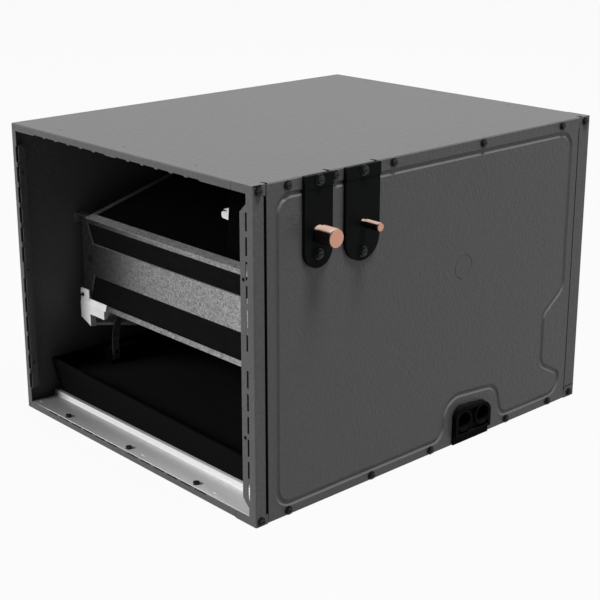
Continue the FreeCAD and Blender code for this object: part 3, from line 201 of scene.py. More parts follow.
class EffectGroups:
    """The shader node groups that several finishes share."""

    SOFT_SCALE: ClassVar[float] = 0.45
    SOFT_DETAIL: ClassVar[float] = 3.0
    PEBBLE_SHARE: ClassVar[float] = 0.6
    SPECKLE_DETAIL: ClassVar[float] = 1.0
    SPECKLE_SPAN: ClassVar[Span] = (0.36, 0.64)
    CRYSTAL_SHARE: ClassVar[float] = 0.5
    MOTTLE_DETAIL: ClassVar[float] = 4.0
    MOTTLE_SPAN: ClassVar[Span] = (-0.25, 0.25)
    EDGE_SAMPLES: ClassVar[int] = 4
    EDGE_SPAN: ClassVar[Span] = (0.99, 0.80)
    RUB_SCALE: ClassVar[float] = 140.0
    RUB_DETAIL: ClassVar[float] = 3.0
    RUB_SPAN: ClassVar[Span] = (0.38, 0.62)
    RUB_LEVELS: ClassVar[Span] = (0.25, 1.0)

    def __init__(self) -> None:
        """Build every group once."""
        self.trees = {Effect.GRAIN: self._grain(), Effect.SPANGLE: self._spangle(),
                      Effect.MOTTLE: self._mottle(), Effect.WEAR: self._wear()}

    @staticmethod
    def _start(effect: Effect, **inputs: float) -> tuple[NodeBoard | Socket, ...]:
        """Start a group with its inputs.

        Args:
            effect: Which group it is.
            inputs: Names and values of the inputs that follow the place.

        Returns:
            The board to work on, then the place and each input to read.
        """
        tree = bpy.data.node_groups.new(effect.value, "ShaderNodeTree")
        tree.interface.new_socket(name="Vector", in_out="INPUT", socket_type="NodeSocketVector")
        for title, value in inputs.items():
            socket = tree.interface.new_socket(name=title, in_out="INPUT", socket_type="NodeSocketFloat")
            socket.default_value = value
        board = NodeBoard(tree)
        return board, *tree.nodes.new("NodeGroupInput").outputs[:1 + len(inputs)]

    @staticmethod
    def _end(board: NodeBoard, **outputs: Socket) -> Tree:
        """Give a group its outputs.

        Args:
            board: The group's board.
            outputs: Names of the output numbers and what they show.

        Returns:
            The finished group.
        """
        for title in outputs:
            board.tree.interface.new_socket(name=title, in_out="OUTPUT", socket_type="NodeSocketFloat")
        board.node("NodeGroupOutput", None, **outputs)
        return board.tree

    def _grain(self) -> Tree:
        """Fine rounded pebbles, as in textured enamel or moulded plastic.

        Returns:
            The group, with the pebbles' height and a soft tone.
        """
        board, place, scale = self._start(Effect.GRAIN, Scale=600.0)
        cells = board.node("ShaderNodeTexVoronoi", {"feature": "SMOOTH_F1"}, Vector=place, Scale=scale)
        soft = board.noise(place, board.maths("MULTIPLY", scale, self.SOFT_SCALE), self.SOFT_DETAIL)
        bumps = board.maths("SUBTRACT", 1.0, cells.outputs["Distance"])
        height = board.maths("ADD", board.maths("MULTIPLY", bumps, self.PEBBLE_SHARE),
                             board.maths("MULTIPLY", soft, 1.0 - self.PEBBLE_SHARE))
        return self._end(board, Height=height, Tone=soft)

    def _spangle(self) -> Tree:
        """The crystals of a zinc coat, each with its own brightness, under a fine speckle.

        Returns:
            The group, with the zinc's tone and the speckle's height.
        """
        board, place, crystals, speckle = self._start(Effect.SPANGLE, Crystals=260.0, Speckle=700.0)
        cells = board.node("ShaderNodeTexVoronoi", None, Vector=place, Scale=crystals)
        levels = board.node("ShaderNodeSeparateColor", None, Color=cells.outputs["Color"]).outputs[0]
        fine = board.ranged(board.noise(place, speckle, self.SPECKLE_DETAIL), self.SPECKLE_SPAN)
        tone = board.maths("ADD", board.maths("MULTIPLY", levels, self.CRYSTAL_SHARE),
                           board.maths("MULTIPLY", fine, 1.0 - self.CRYSTAL_SHARE))
        return self._end(board, Tone=tone, Height=fine)

    def _mottle(self) -> Tree:
        """Slow changes of tone over a surface, from handling and dust.

        Returns:
            The group, with its mask.
        """
        board, place, scale, contrast = self._start(Effect.MOTTLE, Scale=9.0, Contrast=1.0)
        broad = board.maths("SUBTRACT", board.noise(place, scale, self.MOTTLE_DETAIL), 0.5)
        mask = board.maths("MULTIPLY", broad, contrast)
        return self._end(board, Mask=board.ranged(mask, self.MOTTLE_SPAN))

    def _wear(self) -> Tree:
        """Where edges have been rubbed, broken up by noise.

        Returns:
            The group, with its mask.
        """
        board, place, radius, amount = self._start(Effect.WEAR, Radius=0.8 * MM, Amount=1.0)
        bevel = board.node("ShaderNodeBevel", {"samples": self.EDGE_SAMPLES}, Radius=radius)
        flat = board.node("ShaderNodeNewGeometry").outputs["Normal"]
        meet = board.node("ShaderNodeVectorMath", {"operation": "DOT_PRODUCT"})
        for socket, normal in zip(meet.inputs, (bevel.outputs[0], flat)):
            board.feed(socket, normal)
        edge = board.ranged(meet.outputs["Value"], self.EDGE_SPAN)
        noise = board.noise(place, self.RUB_SCALE, self.RUB_DETAIL)
        rubbed = board.maths("MULTIPLY", edge, board.ranged(noise, self.RUB_SPAN, self.RUB_LEVELS))
        return self._end(board, Mask=board.maths("MULTIPLY", rubbed, amount))


class Canvas(NodeBoard):
    """A material's board, with its shader, its place on the object and the shared groups."""

    def __init__(self, material: bpy.types.Material, effects: EffectGroups) -> None:
        """Join an empty material's shader to its output.

        Args:
            material: The material to fill.
            effects: The shared node groups.
        """
        super().__init__(material.node_tree)
        self.effects = effects
        self.place = self.node("ShaderNodeTexCoord").outputs["Object"]
        self.shader = self.node("ShaderNodeBsdfPrincipled")
        output = self.node("ShaderNodeOutputMaterial")
        self.feed(output.inputs["Surface"], self.shader.outputs[0])

    def effect(self, effect: Effect, **values: float) -> bpy.types.bpy_prop_collection:
        """Place a shared group with this material's own values.

        Args:
            effect: Which group it is.
            values: Its inputs by name.

        Returns:
            The group's outputs.
        """
        tree = self.effects.trees[effect]
        return self.node("ShaderNodeGroup", {"node_tree": tree}, Vector=self.place, **values).outputs

    def rising(self, axis: Axis = Axis.Z) -> Socket:
        """How far the surface faces along an axis of the part."""
        normal = self.node("ShaderNodeNewGeometry").outputs["Normal"]
        return self.node("ShaderNodeSeparateXYZ", None, Vector=normal).outputs[axis.value]

    def colour(self, base: Socket, rubbed: Colour, **edges: float) -> None:
        """Colour the surface, with another colour where its edges are rubbed.

        Args:
            base: The surface's colour.
            rubbed: The colour of rubbed edges.
            edges: The Radius and Amount of the wear.
        """
        wear = self.effect(Effect.WEAR, **edges)["Mask"]
        self.feed(self.shader.inputs["Base Color"], self.mixed(wear, base, rgba(rubbed)))

    def roughen(self, mask: Socket, roughness: float, spread: Span) -> None:
        """Let the roughness follow a mask.

        Args:
            mask: The mask to follow.
            roughness: The finish's plain roughness.
            spread: What is added to it where the mask is 0 and where it is 1.
        """
        levels = (roughness + spread[0], roughness + spread[1])
        self.feed(self.shader.inputs["Roughness"], self.ranged(mask, FULL, levels))

    def bump(self, height: Socket, strength: float, depth: float) -> None:
        """Raise the surface.

        Args:
            height: The height to follow.
            strength: The share of it that is used.
            depth: What a full step of it stands for, in metres.
        """
        made = self.node("ShaderNodeBump", None, Strength=strength, Distance=depth, Height=height)
        self.feed(self.shader.inputs["Normal"], made.outputs[0])


@dataclass(frozen=True)
class Finish:
    """What every finish holds and how its material is made."""

    FINE_DEPTH: ClassVar[float] = 0.2 * MM

    name: str
    colour: Colour
    roughness: float
    shine: float = 0.5
    ior: float = 1.5

    def material(self, effects: EffectGroups) -> bpy.types.Material:
        """Make the finish's material.

        Args:
            effects: The shared node groups.

        Returns:
            The material, ready to assign.
        """
        made = bpy.data.materials.new(self.name)
        made.use_nodes = True
        canvas = Canvas(made, effects)
        canvas.shader.inputs["Specular IOR Level"].default_value = self.shine
        canvas.shader.inputs["IOR"].default_value = self.ior
        self.paint(canvas)
        return made

    def paint(self, canvas: Canvas) -> None:
        """Fill the shader's sockets; each kind of finish has its own way."""
        raise NotImplementedError


@dataclass(frozen=True)
class PebblePaint(Finish):
    """Textured grey enamel on steel, paler along its edges and, where asked, with a painted highlight on
    faces that slope upward.
    """

    MOTTLE: ClassVar[dict[str, float]] = {"Scale": 7.0, "Contrast": 0.8}
    TONES: ClassVar[Span] = (0.90, 1.10)
    SPECK_TONE: ClassVar[float] = 1.25
    SPECK_SPAN: ClassVar[Span] = (0.35, 0.65)
    SPECK_LEVELS: ClassVar[Span] = (0.0, 0.35)
    SLOPE_HIGHLIGHT_SPAN: ClassVar[Span] = (0.06, 0.30)
    EDGE_RADIUS: ClassVar[float] = 0.7 * MM
    ROUGH_SPREAD: ClassVar[Span] = (-0.03, 0.04)

    grain_scale: float = 240.0
    grain_strength: float = 0.8
    grain_depth: float = 1.0 * MM
    # Colour of rubbed edges, also used for the painted highlight on upward faces.
    worn_and_highlight: Colour = grey(0.30)
    wear: float = 0.5
    slope_highlight: float = 0.0

    def paint(self, canvas: Canvas) -> None:
        """Enamel with pebbles, slow mottling, rubbed edges and, where asked, a painted highlight on faces
        that slope upward.

        Args:
            canvas: The material to fill.
        """
        grain = canvas.effect(Effect.GRAIN, Scale=self.grain_scale)
        mottle = canvas.effect(Effect.MOTTLE, **self.MOTTLE)["Mask"]
        base = canvas.mixed(mottle, *(rgba(scaled(self.colour, tone)) for tone in self.TONES))
        speck = canvas.ranged(grain["Tone"], self.SPECK_SPAN, self.SPECK_LEVELS)
        base = canvas.mixed(speck, base, rgba(scaled(self.colour, self.SPECK_TONE)))
        # Painted highlight: faces that slope upward, such as the door's bead, are drawn towards the paler
        # edge colour.
        if self.slope_highlight:
            painted_highlight = canvas.ranged(canvas.rising(), self.SLOPE_HIGHLIGHT_SPAN, (0.0, self.slope_highlight))
            base = canvas.mixed(painted_highlight, base, rgba(self.worn_and_highlight))
        canvas.colour(base, self.worn_and_highlight, Radius=self.EDGE_RADIUS, Amount=self.wear)
        canvas.roughen(mottle, self.roughness, self.ROUGH_SPREAD)
        canvas.bump(grain["Height"], self.grain_strength, self.grain_depth)


@dataclass(frozen=True)
class ZincSteel(Finish):
    """Galvanised sheet with its spangle, with painted shade that darkens it towards the casing's closed
    left wall.
    """

    MOTTLE: ClassVar[dict[str, float]] = {"Scale": 14.0, "Contrast": 0.6}
    MOTTLE_SHARE: ClassVar[float] = 0.18
    EDGE_RADIUS: ClassVar[float] = 0.6 * MM
    WALL_SHADE_SPAN: ClassVar[Span] = (-260 * MM, 220 * MM)
    # Painted shadow at the rail's end by the left wall.
    WALL_END_SHADE_SPAN: ClassVar[Span] = (-252 * MM, -212 * MM)
    WALL_END_SHADE: ClassVar[float] = 0.85
    UPWARD_SPAN: ClassVar[Span] = (0.6, 0.9)
    MATT_SPAN: ClassVar[Span] = (0.3, 0.7)
    RUBBED_TONE: ClassVar[float] = 1.25
    ROUGH_SPREAD: ClassVar[Span] = (0.10, -0.05)
    BUMP_STRENGTH: ClassVar[float] = 0.12

    shade: Colour = grey(0.30)
    crystals: float = 260.0
    speckle: float = 620.0
    metallic: float = 0.9
    contrast: float = 1.0
    # Share of the colour kept at the left wall under the painted shade; 1.0 paints no shade.
    wall_shade_keep: float = 1.0
    shade_on_flats: bool = False
    rubbed: float = 0.5
    matt_above: float = 0.0

    def paint(self, canvas: Canvas) -> None:
        """Zinc crystals of two tones, with roughness that follows them.

        Args:
            canvas: The material to fill.
        """
        spangle = canvas.effect(Effect.SPANGLE, Crystals=self.crystals, Speckle=self.speckle)
        mottle = canvas.effect(Effect.MOTTLE, **self.MOTTLE)["Mask"]
        half = 0.5 / self.contrast
        tone = canvas.ranged(spangle["Tone"], (0.5 - half, 0.5 + half))
        base = canvas.mixed(tone, rgba(self.shade), rgba(self.colour))
        base = canvas.mixed(canvas.maths("MULTIPLY", mottle, self.MOTTLE_SHARE), base, rgba(self.shade))
        # Painted shade: the colour is drawn towards black where the shade mask is high.
        base = canvas.mixed(self.painted_shade(canvas), base, rgba(grey(0.0)))
        rubbed = scaled(self.colour, self.RUBBED_TONE)
        canvas.colour(base, rubbed, Radius=self.EDGE_RADIUS, Amount=self.rubbed)
        canvas.shader.inputs["Metallic"].default_value = self.metallic
        if self.matt_above:
            levels = (self.metallic, self.metallic - self.matt_above)
            covered = canvas.ranged(canvas.rising(), self.MATT_SPAN, levels)
            canvas.feed(canvas.shader.inputs["Metallic"], covered)
        canvas.roughen(spangle["Tone"], self.roughness, self.ROUGH_SPREAD)
        canvas.bump(spangle["Height"], self.BUMP_STRENGTH, self.FINE_DEPTH)

    def painted_shade(self, canvas: Canvas) -> Socket:
        """Painted shade across the casing towards the left wall and, on the rail, painted shade on its
        flats and at its end by the wall.

        Args:
            canvas: The material to fill.

        Returns:
            A mask of painted shade, 1 where the sheet is painted black.
        """
        across = canvas.node("ShaderNodeSeparateXYZ", None, Vector=canvas.place).outputs[Axis.X.value]
        # Painted shadow of the left wall: darker towards -X.
        mask = canvas.ranged(across, self.WALL_SHADE_SPAN, (1.0 - self.wall_shade_keep, 0.0))
        # On the rail: painted shade only on faces that look up, and a painted shadow at its end by the
        # wall.
        if self.shade_on_flats:
            mask = canvas.maths("MULTIPLY", mask, canvas.ranged(canvas.rising(), self.UPWARD_SPAN))
            end = canvas.ranged(across, self.WALL_END_SHADE_SPAN, (self.WALL_END_SHADE, 0.0))
            mask = canvas.maths("MAXIMUM", mask, end)
        return mask


@dataclass(frozen=True)
class Moulding(Finish):
    """Moulded plastic with a fine texture, also used, near-black, for strips of painted shadow."""

    MOTTLE: ClassVar[dict[str, float]] = {"Scale": 22.0, "Contrast": 0.9}
    TONES: ClassVar[Span] = (0.85, 1.12)
    EDGES: ClassVar[dict[str, float]] = {"Radius": 0.6 * MM, "Amount": 0.5}
    UPWARD_SPAN: ClassVar[Span] = (0.7, 0.95)
    DUST_LEVELS: ClassVar[Span] = (0.7, 1.0)
    ROUGH_SPREAD: ClassVar[Span] = (-0.04, 0.05)

    texture_scale: float = 1500.0
    texture_strength: float = 0.18
    edge_lift: float = 1.5
    dust: Colour | None = None

    def paint(self, canvas: Canvas) -> None:
        """Slightly uneven plastic, another colour where its edges are rubbed and where dust lies.

        Args:
            canvas: The material to fill.
        """
        grain = canvas.effect(Effect.GRAIN, Scale=self.texture_scale)
        mottle = canvas.effect(Effect.MOTTLE, **self.MOTTLE)["Mask"]
        base = canvas.mixed(mottle, *(rgba(scaled(self.colour, tone)) for tone in self.TONES))
        if self.dust:
            lies = canvas.maths("MULTIPLY", canvas.ranged(canvas.rising(), self.UPWARD_SPAN),
                                canvas.ranged(mottle, FULL, self.DUST_LEVELS))
            base = canvas.mixed(lies, base, rgba(self.dust))
        canvas.colour(base, scaled(self.colour, self.edge_lift), **self.EDGES)
        canvas.roughen(mottle, self.roughness, self.ROUGH_SPREAD)
        canvas.bump(grain["Height"], self.texture_strength, self.FINE_DEPTH)


@dataclass(frozen=True)
class BareMetal(Finish):
    """Drawn or turned metal that has dulled in patches and, where asked, on its ends, with painted shade
    on its undersides where asked.
    """

    MOTTLE_CONTRAST: ClassVar[float] = 0.9
    DULL_SHARE: ClassVar[float] = 0.6
    EDGES: ClassVar[dict[str, float]] = {"Radius": 0.5 * MM, "Amount": 0.6}
    END_SPAN: ClassVar[Span] = (0.90, 0.98)
    UNDERSIDE_SHADE_SPAN: ClassVar[Span] = (0.78, 0.62)
    RUBBED_TONE: ClassVar[float] = 1.2
    ROUGH_SPREAD: ClassVar[Span] = (-0.06, 0.10)
    BUMP_STRENGTH: ClassVar[float] = 0.08

    dulled: Colour = grey(0.2)
    metallic: float = 1.0
    patches: float = 60.0
    scratches: float = 900.0
    end_dull: float = 0.0
    underside_shade: Colour | None = None

    def paint(self, canvas: Canvas) -> None:
        """Bright metal with dull patches, fine scratches and, where asked, painted shade underneath.

        Args:
            canvas: The material to fill.
        """
        mottle = canvas.effect(Effect.MOTTLE, Scale=self.patches, Contrast=self.MOTTLE_CONTRAST)["Mask"]
        grain = canvas.effect(Effect.GRAIN, Scale=self.scratches)
        end = canvas.ranged(canvas.rising(Axis.X), self.END_SPAN)
        dull = canvas.maths("MAXIMUM", canvas.maths("MULTIPLY", mottle, self.DULL_SHARE),
                            canvas.maths("MULTIPLY", end, self.end_dull))
        base = canvas.mixed(dull, rgba(self.colour), rgba(self.dulled))
        # Painted shade: faces that do not look up go nearly black.
        if self.underside_shade:
            under = canvas.ranged(canvas.rising(), self.UNDERSIDE_SHADE_SPAN)
            under = canvas.maths("MULTIPLY", under, canvas.maths("SUBTRACT", 1.0, end))
            base = canvas.mixed(under, base, rgba(self.underside_shade))
        canvas.colour(base, scaled(self.colour, self.RUBBED_TONE), **self.EDGES)
        canvas.shader.inputs["Metallic"].default_value = self.metallic
        canvas.roughen(mottle, self.roughness, self.ROUGH_SPREAD)
        canvas.bump(grain["Tone"], self.BUMP_STRENGTH, self.FINE_DEPTH)


CASING_PAINT = PebblePaint("casing_enamel", grey(0.100), roughness=0.50, shine=0.25)
# The door has the casing's enamel, painted darker here: painted shade on the door side. Its slope value
# paints highlights on the bead.
SHADED_DOOR_PAINT = PebblePaint("door_enamel", grey(0.074), roughness=0.45, shine=0.36, slope_highlight=0.28)
ZINC = ZincSteel("galvanised_sheet", grey(0.55), roughness=0.36, shade=grey(0.22), metallic=0.85)
# Painted shade darkens the apex plate and the front angles towards the left wall.
FACE_ZINC = ZincSteel("face_sheet", grey(0.50), roughness=0.32, shade=grey(0.15), metallic=1.0,
                      crystals=420.0, speckle=800.0, contrast=1.3, wall_shade_keep=0.62, matt_above=0.8)
# Near-black copy of the galvanised sheet for the piping baffle: painted shade.
SHADED_ZINC = ZincSteel("dull_galvanised_sheet", grey(0.004), roughness=0.6, shine=0.0,
                        shade=grey(0.002), metallic=0.0)
# The galvanised rail is given a white, nearly matt colour: painted sheen that stands in for its bright
# reflection; its flats and wall end carry painted shade.
PAINTED_SHEEN_RAIL_ZINC = ZincSteel("rail_sheet", grey(1.0), roughness=0.34, shade=grey(0.93), crystals=120.0,
                      metallic=0.05, contrast=0.8, wall_shade_keep=0.18, shade_on_flats=True, rubbed=1.0)
BLACK_PLASTIC = Moulding("black_plastic", (0.0062, 0.0068, 0.0070), roughness=0.5, shine=0.2, ior=1.15)
PAN_PLASTIC = Moulding("pan_plastic", grey(0.0044), roughness=0.5, shine=0.15, ior=1.12, dust=grey(0.010))
# Near-black material for strips laid over seams and gaps: painted shadow lines.
SHADOW_BLACK = Moulding("black_foam", grey(0.0035), roughness=0.9, shine=0.0, ior=1.05)
WHITE_PLASTIC = Moulding("white_plastic", grey(0.95), roughness=0.36, edge_lift=1.05)
SCREW_STEEL = BareMetal("dark_screw_steel", (0.016, 0.019, 0.019), roughness=0.42, shine=0.25,
                        dulled=grey(0.010), metallic=0.3)
# Copper paler than copper: partly the metal's colour, partly a painted highlight on the tube tops; the
# underside value paints shade below them.
COPPER = BareMetal("bare_copper", (1.0, 0.76, 0.64), roughness=0.30, shine=0.3,
                   dulled=(0.80, 0.39, 0.27), metallic=0.25, end_dull=0.95,
                   underside_shade=(0.0045, 0.0032, 0.0028))
BRASS = BareMetal("turned_brass", (0.72, 0.55, 0.26), roughness=0.30, dulled=(0.50, 0.36, 0.16))
# Near-black fin colour, far darker than bare aluminium.
FIN_STOCK = BareMetal("coated_fins", grey(0.030), roughness=0.45, dulled=grey(0.02), metallic=0.5)


class Pick(Enum):
    """What is selected in edit mode."""

    POINTS = "VERT"
    EDGES = "EDGE"
    FACES = "FACE"


def clear_selection() -> None:
    """Leave edit mode and select nothing."""
    if bpy.context.object and bpy.context.object.mode != "OBJECT":
        bpy.ops.object.mode_set(mode="OBJECT")
    bpy.ops.object.select_all(action="DESELECT")


def activate(piece: Piece) -> None:
    """Make one piece the only selected one.

    Args:
        piece: The piece to work on.
    """
    clear_selection()
    piece.select_set(True)
    bpy.context.view_layer.objects.active = piece


def apply_place(piece: Piece) -> None:
    """Put a piece's place into its mesh, so that its object sits at the origin."""
    activate(piece)
    bpy.ops.object.transform_apply(location=True, rotation=True, scale=True)


def apply_modifier(piece: Piece, kind: str, **settings: object) -> None:
    """Add a modifier and apply it at once.

    Args:
        piece: The piece to change.
        kind: The modifier's type.
        settings: The modifier's own values.
    """
    activate(piece)
    modifier = piece.modifiers.new(kind.title(), kind)
    for name, value in settings.items():
        setattr(modifier, name, value)
    bpy.ops.object.modifier_apply(modifier=modifier.name)


def ease_edges(piece: Piece, width: float) -> None:
    """Round a piece's sharp edges a little."""
    apply_modifier(piece, "BEVEL", width=width, segments=2, limit_method="ANGLE")


def edit(piece: Piece, pick: Pick, everything: bool = True) -> None:
    """Enter edit mode on a piece.

    Args:
        piece: The piece to work on.
        pick: What is selected there.
        everything: Whether all of it is selected, or none.
    """
    activate(piece)
    bpy.ops.object.mode_set(mode="EDIT")
    bpy.ops.mesh.select_mode(type=pick.value)
    bpy.ops.mesh.select_all(action="SELECT" if everything else "DESELECT")


def leave_edit() -> None:
    """Go back to object mode."""
    bpy.ops.object.mode_set(mode="OBJECT")


def pick_out(piece: Piece, pick: Pick, wanted: Callable[[bpy.types.bpy_struct], bool]) -> None:
    """Select the points or faces that pass a test, and stay in edit mode.

    Args:
        piece: The piece to work on.
        pick: POINTS or FACES.
        wanted: The test, which takes a point or a face of the mesh.
    """
    edit(piece, pick, everything=False)
    leave_edit()
    for part in piece.data.polygons if pick is Pick.FACES else piece.data.vertices:
        part.select = wanted(part)
    bpy.ops.object.mode_set(mode="EDIT")


def outward(piece: Piece) -> None:
    """Merge doubles and turn every face outwards.

    Args:
        piece: A closed piece.
    """
    edit(piece, Pick.POINTS)
    bpy.ops.mesh.remove_doubles(threshold=MERGE_DISTANCE)
    bpy.ops.mesh.normals_make_consistent(inside=False)
    leave_edit()


def block(name: str, low: Vector, high: Vector) -> Piece:
    """A plain block between two corners, to be shaped further.

    Args:
        name: The piece's name.
        low: The corner with the lowest coordinates.
        high: The opposite corner.

    Returns:
        The block.
    """
    clear_selection()
    bpy.ops.mesh.primitive_cube_add(size=1.0, location=(low + high) / 2)
    piece = bpy.context.object
    piece.name = name
    piece.scale = high - low
    apply_place(piece)
    return piece


def seats(node: Piece, apart: float) -> list[Vector]:
    """Where the separate solids of a group stand.

    Args:
        node: The CAD node that holds the group.
        apart: Distance in metres beyond which points belong to different solids.

    Returns:
        One point for each solid: the highest X, and the middle of its Y and Z.
    """
    groups: list[list[Vector]] = []
    for vertex in node.data.vertices:
        for group in groups:
            if (group[0].yz - vertex.co.yz).length < apart:
                group.append(vertex.co)
                break
        else:
            groups.append([vertex.co])
    points = []
    for group in groups:
        xs, ys, zs = zip(*group)
        points.append(Vector((max(xs), (min(ys) + max(ys)) / 2, (min(zs) + max(zs)) / 2)))
    return points


@dataclass
class Assembly:
    """What the sub-assemblies share: the frame, the materials and the way a piece is handed over."""

    frame: dict
    finishes: dict[str, bpy.types.Material]

    def hand_over(self, piece: Piece, finish: Finish, slot: str,
                  replaced: str | None = None) -> None:
        """Dress a new piece, hang it on the root body and hide the CAD node that it stands for.

        Args:
            piece: The finished piece.
            finish: Its finish.
            slot: Not used.
            replaced: The CAD node that it stands for, if any.
        """
        piece.data.materials.clear()
        piece.data.materials.append(self.finishes[finish.name])
        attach(piece, "root")
        if replaced:
            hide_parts(replaced)
        LOG.info("%s: %d faces", piece.name, len(piece.data.polygons))

    def hand_over_copies(self, pattern: Piece, places: dict[str, Vector], finish: Finish, slot: str,
                         replaced: str | None = None) -> None:
        """Hand over copies of a pattern, each with its own mesh, and remove the pattern.

        Args:
            pattern: The piece to copy.
            places: How far each copy is moved, by its name.
            finish: The copies' finish.
            slot: The record's material slot.
            replaced: The CAD node that they stand for, if any.
        """
        for name, place in places.items():
            twin = pattern.copy()
            twin.data = pattern.data.copy()
            twin.name = name
            bpy.context.scene.collection.objects.link(twin)
            twin.data.transform(Matrix.Translation(place))
            self.hand_over(twin, finish, slot, replaced)
        bpy.data.objects.remove(pattern)


@dataclass
class FinPacks(Assembly):
    """The two slabs of thin corrugated fins."""

    slab_angle: float = math.radians(15)
    pitch: float = 1.9 * MM
    thickness: float = 0.22 * MM
    waves: int = 6
    wave_height: float = 0.45 * MM
    tip_inset: float = 0.3 * MM
    digits: int = 6

    def build(self) -> None:
        """Make the fins of both slabs and hand them over."""
        for node, side in (("upper_fin_pack", 1), ("lower_fin_pack", -1)):
            self.hand_over(self.pack(node, side), FIN_STOCK, "fins", node)

    def pack(self, node: str, side: int) -> Piece:
        """One slab of fins in its place.

        Args:
            node: The CAD node that holds the slab's room.
            side: 1 for the upper slab, -1 for the lower one.

        Returns:
            The finished piece.
        """
        low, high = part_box(node)
        size = high - low
        turn = self.slab_angle
        length = (size.y * math.cos(turn) - size.z * math.sin(turn)) / math.cos(2 * turn)
        depth = (size.z * math.cos(turn) - size.y * math.sin(turn)) / math.cos(2 * turn)
        clear_selection()
        bpy.ops.mesh.primitive_grid_add(x_subdivisions=1, y_subdivisions=self.waves, size=1.0)
        fins = bpy.context.object
        fins.name = node.replace("_pack", "s")
        fins.dimensions = (length - 2 * self.tip_inset, depth - 2 * self.tip_inset, 0)
        fins.rotation_euler = (0, math.radians(90), 0)
        apply_place(fins)
        fins.rotation_euler = (math.radians(90), 0, 0)
        apply_place(fins)
        self.corrugate(fins)
        apply_modifier(fins, "SOLIDIFY", thickness=self.thickness, offset=0.0)
        count = int((size.x - self.thickness - self.wave_height) / self.pitch)
        apply_modifier(fins, "ARRAY", count=count, use_relative_offset=False, use_constant_offset=True,
                       constant_offset_displace=(self.pitch, 0, 0))
        fins.location = (low.x + (size.x - (count - 1) * self.pitch) / 2, length / 2, depth / 2)
        apply_place(fins)
        fins.rotation_euler = (turn, 0, 0)
        fins.location = (0, low.y + depth * math.sin(turn), low.z)
        apply_place(fins)
        if side < 0:
            middle = (low.z + high.z) / 2
            fins.data.transform(Matrix.Translation((0, 0, middle)) @ Matrix.Scale(-1, 4, (0, 0, 1))
                                @ Matrix.Translation((0, 0, -middle)))
        outward(fins)
        return fins

    def corrugate(self, fins: Piece) -> None:
        """Fold the sheet into shallow waves through its depth.

        Args:
            fins: The flat sheet, upright in the middle of the scene.
        """
        heights = sorted({round(vertex.co.z, self.digits) for vertex in fins.data.vertices})
        crests = set(heights[1::2])
        pick_out(fins, Pick.POINTS, lambda vertex: round(vertex.co.z, self.digits) in crests)
        bpy.ops.transform.translate(value=(self.wave_height, 0, 0))
        leave_edit()


@dataclass
class DrainThreads(Assembly):
    """The pipe threads inside the two drain sockets."""

    pitch: float = 1.8 * MM
    tooth: float = 0.558 * MM
    steps: int = 40
    lead_in: float = 2.5 * MM
    sunk: float = 0.05 * MM

    def build(self) -> None:
        """Wind one thread and put it into both sockets."""
        sockets = [mount for mount in self.frame["record"]["mounts"] if mount["kind"] == "bore"]
        sizes = sockets[0]["dims"]
        pattern = self.thread(sizes["r_mm"] * MM, sizes["length_mm"] * MM)
        places = {mount["name"] + "_thread": Vector(mount["pos_m"]) for mount in sockets}
        self.hand_over_copies(pattern, places, PAN_PLASTIC, "black_moulding")

    def thread(self, radius: float, length: float) -> Piece:
        """One internal thread about the X axis, centred on the origin.

        Args:
            radius: The socket's radius.
            length: The socket's depth.

        Returns:
            The thread, with closed ends.
        """
        turns = int((length - 2 * self.lead_in) / self.pitch)
        clear_selection()
        bpy.ops.mesh.primitive_circle_add(vertices=3, radius=self.tooth, fill_type="NOTHING")
        thread = bpy.context.object
        thread.location = (-turns * self.pitch / 2, radius + self.sunk - self.tooth / 2, 0)
        thread.rotation_euler = (0, 0, math.radians(180))
        apply_place(thread)
        apply_modifier(thread, "SCREW", axis="X", screw_offset=self.pitch, iterations=turns,
                       steps=self.steps, render_steps=self.steps, use_merge_vertices=False)
        edit(thread, Pick.EDGES, everything=False)
        bpy.ops.mesh.select_non_manifold()
        bpy.ops.mesh.edge_face_add()
        leave_edit()
        outward(thread)
        return thread


